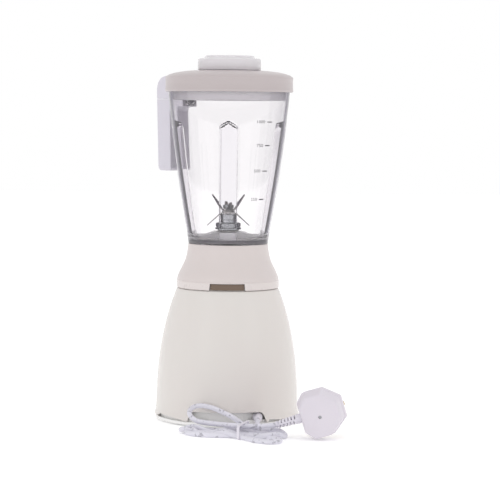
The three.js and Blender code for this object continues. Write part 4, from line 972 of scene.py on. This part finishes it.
def dial():
    """The ring behind the knob, with its setting numbers, and the knob."""
    plate = turned([(3.6, 69.6), (21, 69.6), (21, 73.2), (20.6, 73.9), (19.6, 74.2), (3.6, 74.2)], 96, closed=True)
    plate = shifted(facing_back(plate), 0, 0, KNOB_Z)
    plate = piece("dial_ring", plate, "white_plastic", "base", "dial_plate")
    for index, text in enumerate(("0", "1", "2", "P")):
        angle = math.radians(90 - DIAL_STEP * (index - 1))
        mark = facing_back(spun(lettering(text, DIAL_TEXT), 180))
        mark = shifted(mark, -DIAL_CIRCLE * math.cos(angle), 74.2, KNOB_Z + DIAL_CIRCLE * math.sin(angle))
        piece(f"dial_mark_{index + 1}", mark, "black_plastic", "base")
    skirt = turned([
        (2.9, 74.8), (15.2, 74.8), (15.5, 75.2), (15.4, 77.6), (14.6, 79.2), (13.2, 79.8), (2.9, 79.8),
    ], 72, closed=True)
    bar = rounded_box((-4.2, -13.7, 79), (4.2, 13.7, 90), 2.2, 4)
    bore = peg(2.9, 70, 83.3, 32)
    knob = cut(join(skirt, bar), bore)
    pointer = rounded_box((-0.6, 3, 89.9), (0.6, 12, 90.2))
    piece("knob_grip", shifted(facing_back(knob), 0, 0, KNOB_Z), "white_plastic", "knob", "speed_knob")
    piece("knob_line", shifted(facing_back(pointer), 0, 0, KNOB_Z), "black_plastic", "knob")


# ---------- jar ----------

JAR_WALL = 3
RIB_HALF = 8.5
RIB_SHOULDER, RIB_TOP = 305, 311
RIB_BOTTOM = 187


def jar_radius(z):
    """Outer radius of the jar's flare at a height, along a curve through the foot, the bulge and the shoulder."""
    foot, bulge, shoulder = (42, 188), (55.8, 264.5), (63.2, 341)
    share = min(max((z - foot[1]) / (shoulder[1] - foot[1]), 0), 1)
    return (1 - share) ** 2 * foot[0] + 2 * share * (1 - share) * bulge[0] + share ** 2 * shoulder[0]


def smooth_step(value):
    value = min(max(value, 0), 1)
    return value * value * (3 - 2 * value)


def rib_depth(across, z):
    """How far a rib stands in from the wall, across its middle line and up to its pointed top."""
    full = 5.5 + 2.5 * (z - RIB_BOTTOM) / (RIB_TOP - RIB_BOTTOM)
    side = smooth_step((RIB_HALF + 0.35 - abs(across)) / 0.9)
    roof = RIB_TOP - (RIB_TOP - RIB_SHOULDER) * abs(across) / RIB_HALF
    return full * side * smooth_step((roof + 0.6 - z) / 3)


RIB_COLUMNS = [-10, -9.2, -8.85, -8.6, -8.4, -8.2, -7.95, -7.2, -5.4, -3.6, -1.8, -0.6]
RIB_COLUMNS += [-across for across in reversed(RIB_COLUMNS)]
COLUMNS_BETWEEN = 14


def jar_ring(radius, z, with_ribs=False):
    """One ring round the jar. Its points keep the same columns, so that the ribs' sides stay flat."""
    points = []
    for quarter in range(4):
        turn = Matrix.Rotation(math.radians(90 * quarter), 2)
        for across in RIB_COLUMNS:
            reach = min(max(across / radius, -0.7), 0.7)
            along = radius * math.sqrt(1 - reach * reach) - (rib_depth(across, z) if with_ribs else 0)
            points.append(turn @ Vector((along, reach * radius)))
        start = math.asin(min(RIB_COLUMNS[-1] / radius, 0.7))
        gap = (math.pi / 2 - 2 * start) / (COLUMNS_BETWEEN + 1)
        for step in range(COLUMNS_BETWEEN):
            angle = start + gap * (step + 1)
            points.append(turn @ Vector((radius * math.cos(angle), radius * math.sin(angle))))
    return [(p.x, p.y, z) for p in points]


def along_handle(mesh):
    """Turns a shape drawn along +X towards the handle."""
    return spun(mesh, HANDLE_ANGLE)


HANDLE_ANGLE = 133
LUG_Z = 332.5


def rod(radius, start, end, z, sides=48, rounding=0.4):
    """A rod that points at the handle, from one distance off the axis to another."""
    mesh = turned([(0, start), (radius - rounding, start), (radius, start + rounding), (radius, end - rounding),
                   (radius - rounding, end), (0, end)], sides)
    return along_handle(shifted(spun(mesh, 90, "Y"), 0, 0, z))


def jar():
    rings = [jar_ring(37.6, 174.5), jar_ring(37.6, 184), jar_ring(41, 184), jar_ring(41.5, 184.3),
             jar_ring(41.7, 185), jar_ring(41.9, 187)]
    rings += [jar_ring(jar_radius(z), z) for z in steps_between(189, 341, 30)]
    rings += [jar_ring(63.2, 348), jar_ring(63.2, 354), jar_ring(62.9, 354.6), jar_ring(62.4, 354.8),
              jar_ring(60.8, 354.8), jar_ring(60.3, 354.4), jar_ring(60.2, 353.6), jar_ring(60.2, 347)]
    levels = steps_between(341, 314, 6) + steps_between(312, 303, 18) + steps_between(299, 192, 22)
    rings += [jar_ring(jar_radius(z) - JAR_WALL, z, True) for z in levels]
    rings += [jar_ring(38.4, 190.2, True), jar_ring(37.4, 189.3, True), jar_ring(34.2, 188.5)]
    rings += [jar_ring(r, z) for r, z in ((29, 190.4), (23, 193.4), (18.6, 195.7), (15.4, 196.6), (5.4, 196.6),
                                          (5.4, 193.3), (15.4, 193.3), (18.6, 192.4), (23, 190.1), (29, 187.1))]
    rings += [jar_ring(34.3, 185.2), jar_ring(34.6, 184.6), jar_ring(34.6, 174.5)]
    shell = skin(rings, closed=True)
    slots = [spun(rounded_box((33, -2.8, 170), (38.4, 2.8, 181.3)), 45 + 90 * i) for i in range(4)]
    lug = rod(7.2, 61.6, 65.2, LUG_Z)
    hole = rod(4.8, 61.2, 68, LUG_Z)
    shell = cut(join(cut(shell, *slots), lug), hole)
    jar_piece = piece("jar_shell", shell, "clear_jar", "jar", "jar", sharp=30)
    return repaint(jar_piece, "jar_floor", lambda radius, z: radius < 38.2 and 186 < z < 198)


def jar_scale():
    """Dashes beside the right-hand rib and their volumes in millilitres, printed on the front of the wall."""
    marks = {310: "1000", 286: "750", 260: "500", 231: "250"}
    for z, text in marks.items():
        radius = jar_radius(z) + 0.06
        end = 44 * radius / jar_radius(310)
        dash = rounded_box((end - 4.6, -0.05, z - 0.5), (end, 0.05, z + 0.5))
        label = moved(lettering(text, 4.4, 0.03), Matrix.Rotation(math.radians(90), 4, "X"))
        label = shifted(label, end - 5.8 - 1.35 * len(text), 0, z)
        bmesh.ops.subdivide_edges(label, edges=[e for e in label.edges if e.calc_length() > 0.0015], cuts=2)
        mark = merged(dash, label)
        for vertex in mark.verts:
            height = vertex.co.z / MM
            wall = jar_radius(height) + 0.06
            x = vertex.co.x / MM
            vertex.co.y = (vertex.co.y / MM - math.sqrt(max(wall * wall - x * x, 0))) * MM
        piece(f"jar_mark_{text}", mark, "black_plastic", "jar", material=MATERIALS["scale_ink"])


def jar_handle():
    """The grip hangs from the lug below the lid, and its lower end is free."""
    inner, outer, bottom, top = 82, 104, 257, 358
    outline = soften([
        (65.5, LUG_Z - 7.5, 1.2), (inner, LUG_Z - 7.5, 9), (inner - 2.5, bottom, 4), (outer - 4, bottom, 6),
        (outer, top, 22), (67.6, top, 1.5), (67.6, LUG_Z + 7.3, 1), (65.5, LUG_Z + 7.3, 1),
    ], closed=True, steps=8)
    grip = upright(outline, -11, 11)
    grip = bevelled(grip, 3.2, 4, 60)
    hole = shifted(spun(peg(4.8, 63, 72, 40), 90, "Y"), 0, 0, LUG_Z)
    seam = rounded_box((83, -12, LUG_Z + 0.6), (104, 12, LUG_Z + 1.0))
    grip = cut(grip, hole, seam)
    piece("handle_grip", along_handle(grip), "milky_plastic", "jar", "jar_handle", sharp=40)
    piece("handle_plug", rod(4.5, 61.5, 71.7, LUG_Z, 40, 0.6), "dark_insert", "jar", "handle_insert")


# ---------- blade unit ----------

BLADE_THICKNESS = 1.3
HUB_RADIUS = 6.5


def wing(seat, reach, rise, root, tip, pitch):
    """One wing of a blade along +X, ground to an edge on both sides and turned about its length by the pitch."""
    start = HUB_RADIUS - 2.5
    slope = math.atan2(rise, reach - HUB_RADIUS)
    forward = Vector((math.cos(slope), 0, math.sin(slope)))
    rings = []
    for share in (0, 0.12, 0.3, 0.5, 0.7, 0.88, 1):
        along = start + (reach - start) * share
        rise_here = rise * max(0, along - HUB_RADIUS) / (reach - HUB_RADIUS)
        middle = Vector((along, 0, seat + BLADE_THICKNESS / 2 + rise_here))
        half = (root + (tip - root) * share) / 2
        turn = Quaternion(forward, math.radians(pitch) * smooth_step(share * 2.5))
        up = turn @ Vector((-math.sin(slope), 0, math.cos(slope)))
        side = turn @ Vector((0, 1, 0))
        thick = BLADE_THICKNESS / 2 * (1 - 0.45 * share)
        grind = min(1.6, half * 0.6)
        section = [(-half, 0.12), (-half + grind, 1), (half - grind, 1), (half, 0.12),
                   (half, -0.12), (half - grind, -1), (-half + grind, -1), (-half, -0.12)]
        rings.append([tuple(middle + side * a + up * (b * thick)) for a, b in section])
    return skin(rings)


def blade(name, node, seat, reach, rise, root, tip, twist, pitch):
    hub = turned([
        (3.15, seat), (HUB_RADIUS - 0.2, seat), (HUB_RADIUS, seat + 0.2), (HUB_RADIUS, seat + BLADE_THICKNESS - 0.2),
        (HUB_RADIUS - 0.2, seat + BLADE_THICKNESS), (3.15, seat + BLADE_THICKNESS),
    ], 48, closed=True)
    right, left = wing(seat, reach, rise, root, tip, pitch), spun(wing(seat, reach, rise, root, tip, pitch), 180)
    piece(name, spun(merged(hub, right, left), twist), "blade_steel", "blades", node, sharp=20)


def hexagon(radius, bottom, top, hole, chamfer):
    """A six-sided nut with its corners turned off, and a hole."""
    sides = [(radius * math.cos(math.radians(60 * i)), radius * math.sin(math.radians(60 * i))) for i in range(6)]
    flat = radius * math.cos(math.radians(30))
    limit = turned([(0, bottom), (flat, bottom), (radius + 0.1, bottom + chamfer), (radius + 0.1, top - chamfer),
                    (flat, top), (0, top)], 72)
    drill = turned([(0, bottom - 1), (hole, bottom - 1), (hole, top + 1), (0, top + 1)], 48)
    return cut(combine(slab(sides, bottom, top), [limit], "INTERSECT"), drill)


def blade_unit():
    blade("blade_low", "blade_lower", 215.6, 22, -14, 9, 2.6, 4, 12)
    blade("blade_mid", "blade_middle", 217.3, 17, 9.5, 9, 2.6, 98, 0)
    blade("blade_high", "blade_upper", 219, 17, 15, 8, 2.6, -6, 42)
    bush = turned([
        (5, 191.4), (5, 205.9), (7.2, 205.9), (7.8, 206.5), (7.8, 208.4), (7.4, 208.8), (7.4, 209.4), (7.8, 209.8),
        (7.8, 214), (7, 215), (3.15, 215), (3.15, 191.4),
    ], 72, closed=True)
    piece("bush_sleeve", bush, "bearing_bronze", "jar", "blade_bush", material=MATERIALS["shaft_steel"])
    washer = turned([(5.3, 196.9), (10.6, 196.9), (11, 197.3), (11, 197.8), (10.6, 198.2), (5.3, 198.2)], 72,
                    closed=True)
    piece("seal_ring", washer, "white_rubber", "jar", "blade_seal")
    skirt = turned([(5.3, 198.5), (13.2, 198.5), (13.6, 198.9), (13.3, 200.2), (12.6, 200.7), (5.3, 200.7)], 96,
                   closed=True)
    piece("flange_nut", merged(hexagon(12.9, 200.7, 205.5, 5.3, 0.8), skirt), "screw_steel", "jar", "blade_flange")
    nut = hexagon(5.2, 220.9, 224.6, 3.1, 0.5)
    piece("top_nut", nut, "screw_steel", "blades", "blade_nut")
    shaft = turned([(0, 183), (2.6, 183), (3, 183.4), (3, 223.4), (2.4, 224), (0, 224)], 48)
    piece("spindle", shaft, "shaft_steel", "blades", "blade_shaft")


# ---------- lid and measuring cap ----------

def lid():
    dome = [
        (65, 356.6), (63.4, 357.8), (60.5, 358.9), (56.5, 360), (51, 361.1), (45, 361.9), (38, 362.5), (33, 362.6),
    ]
    shell = turned([
        (65.4, 340.5), (66, 340.8), (66.3, 341.4), (66.3, 343.4), (66, 343.8), (66, 353.4), (66.2, 353.8),
        (66.3, 354.9), (66, 355.8), *dome, (27.9, 362.6), (27.5, 362.2), (27.5, 353), (29.3, 353), (29.3, 360.2),
        (45, 359.8), (56.8, 357.4), (56.8, 332.4), (57.2, 332), (58.5, 332), (58.9, 332.4), (58.9, 347.6),
        (57.9, 347.6), (57.9, 351.4), (58.9, 351.4), (58.9, 355.3), (64, 355.3), (64, 340.5),
    ], 144, closed=True)
    lid_piece = piece("lid_shell", shell, "lid_plastic", "lid", "lid", sharp=40)
    # The plug ring's faces get painted light: a near-white copy of the lid plastic that brightens them against their
    # shade.
    return repaint(lid_piece, "lid_ring_painted_light", lambda radius, z: radius < 59.5 and z < 350)


def measuring_cap():
    cup = turned([
        (24.6, 340), (26, 340), (26.3, 340.4), (26.8, 366), (27, 373), (31, 373), (31, 363.5), (31.4, 363.1),
        (32.3, 363.1), (32.8, 363.7), (32.8, 373.2), (32.4, 374.4), (31.4, 375), (27.2, 375.2), (26.2, 375.6),
        (25.7, 376.4), (25.5, 377.4), (24.8, 378), (12, 378), (0, 377.6), (0, 375.6), (23.6, 375.6),
        (24.4, 375), (24.2, 340.4),
    ], 128)
    piece("cap_cup", cup, "milky_plastic", "cap", "measuring_cap", sharp=40, material=MATERIALS["cap_clear"])


# ---------- the CAD's own pieces that stay ----------

EDGE_WIDTH = 0.2
EDGE_ANGLE = 40
CAD_PIECES = [
    "rotary_switch", "switch_shaft", "base_screw_1", "base_screw_2", "base_screw_3", "motor_stator", "motor_bolt_1",
    "motor_bolt_2", "field_coil_front", "field_coil_rear", "motor_bracket_upper", "motor_bracket_lower",
    "bearing_upper", "bearing_lower", "brush_holder_1", "brush_holder_2", "carbon_brush_1", "carbon_brush_2",
    "motor_shaft", "armature_core", "armature_winding_upper", "armature_winding_lower", "commutator", "cooling_fan",
    "drive_coupling", "jar_coupling", "lid_gasket",
]


def cad_materials():
    """Every carried-over node wears its slot's material, and the ones that stay also get softened edges."""
    for entry in frame["record"]["subparts"]:
        node = frame["nodes"][entry["node"]]
        node.data.materials.clear()
        node.data.materials.append(MATERIALS[entry["material_slot"]])
        if entry["node"] in CAD_PIECES:
            bevel_edges(node, EDGE_WIDTH, 2, EDGE_ANGLE)


cad_materials()
body_housing()
neck_housing()
notch_panel()
base_plate()
for index in range(4):
    foot(index)
dial()
jar()
jar_scale()
jar_handle()
blade_unit()
lid()
measuring_cap()
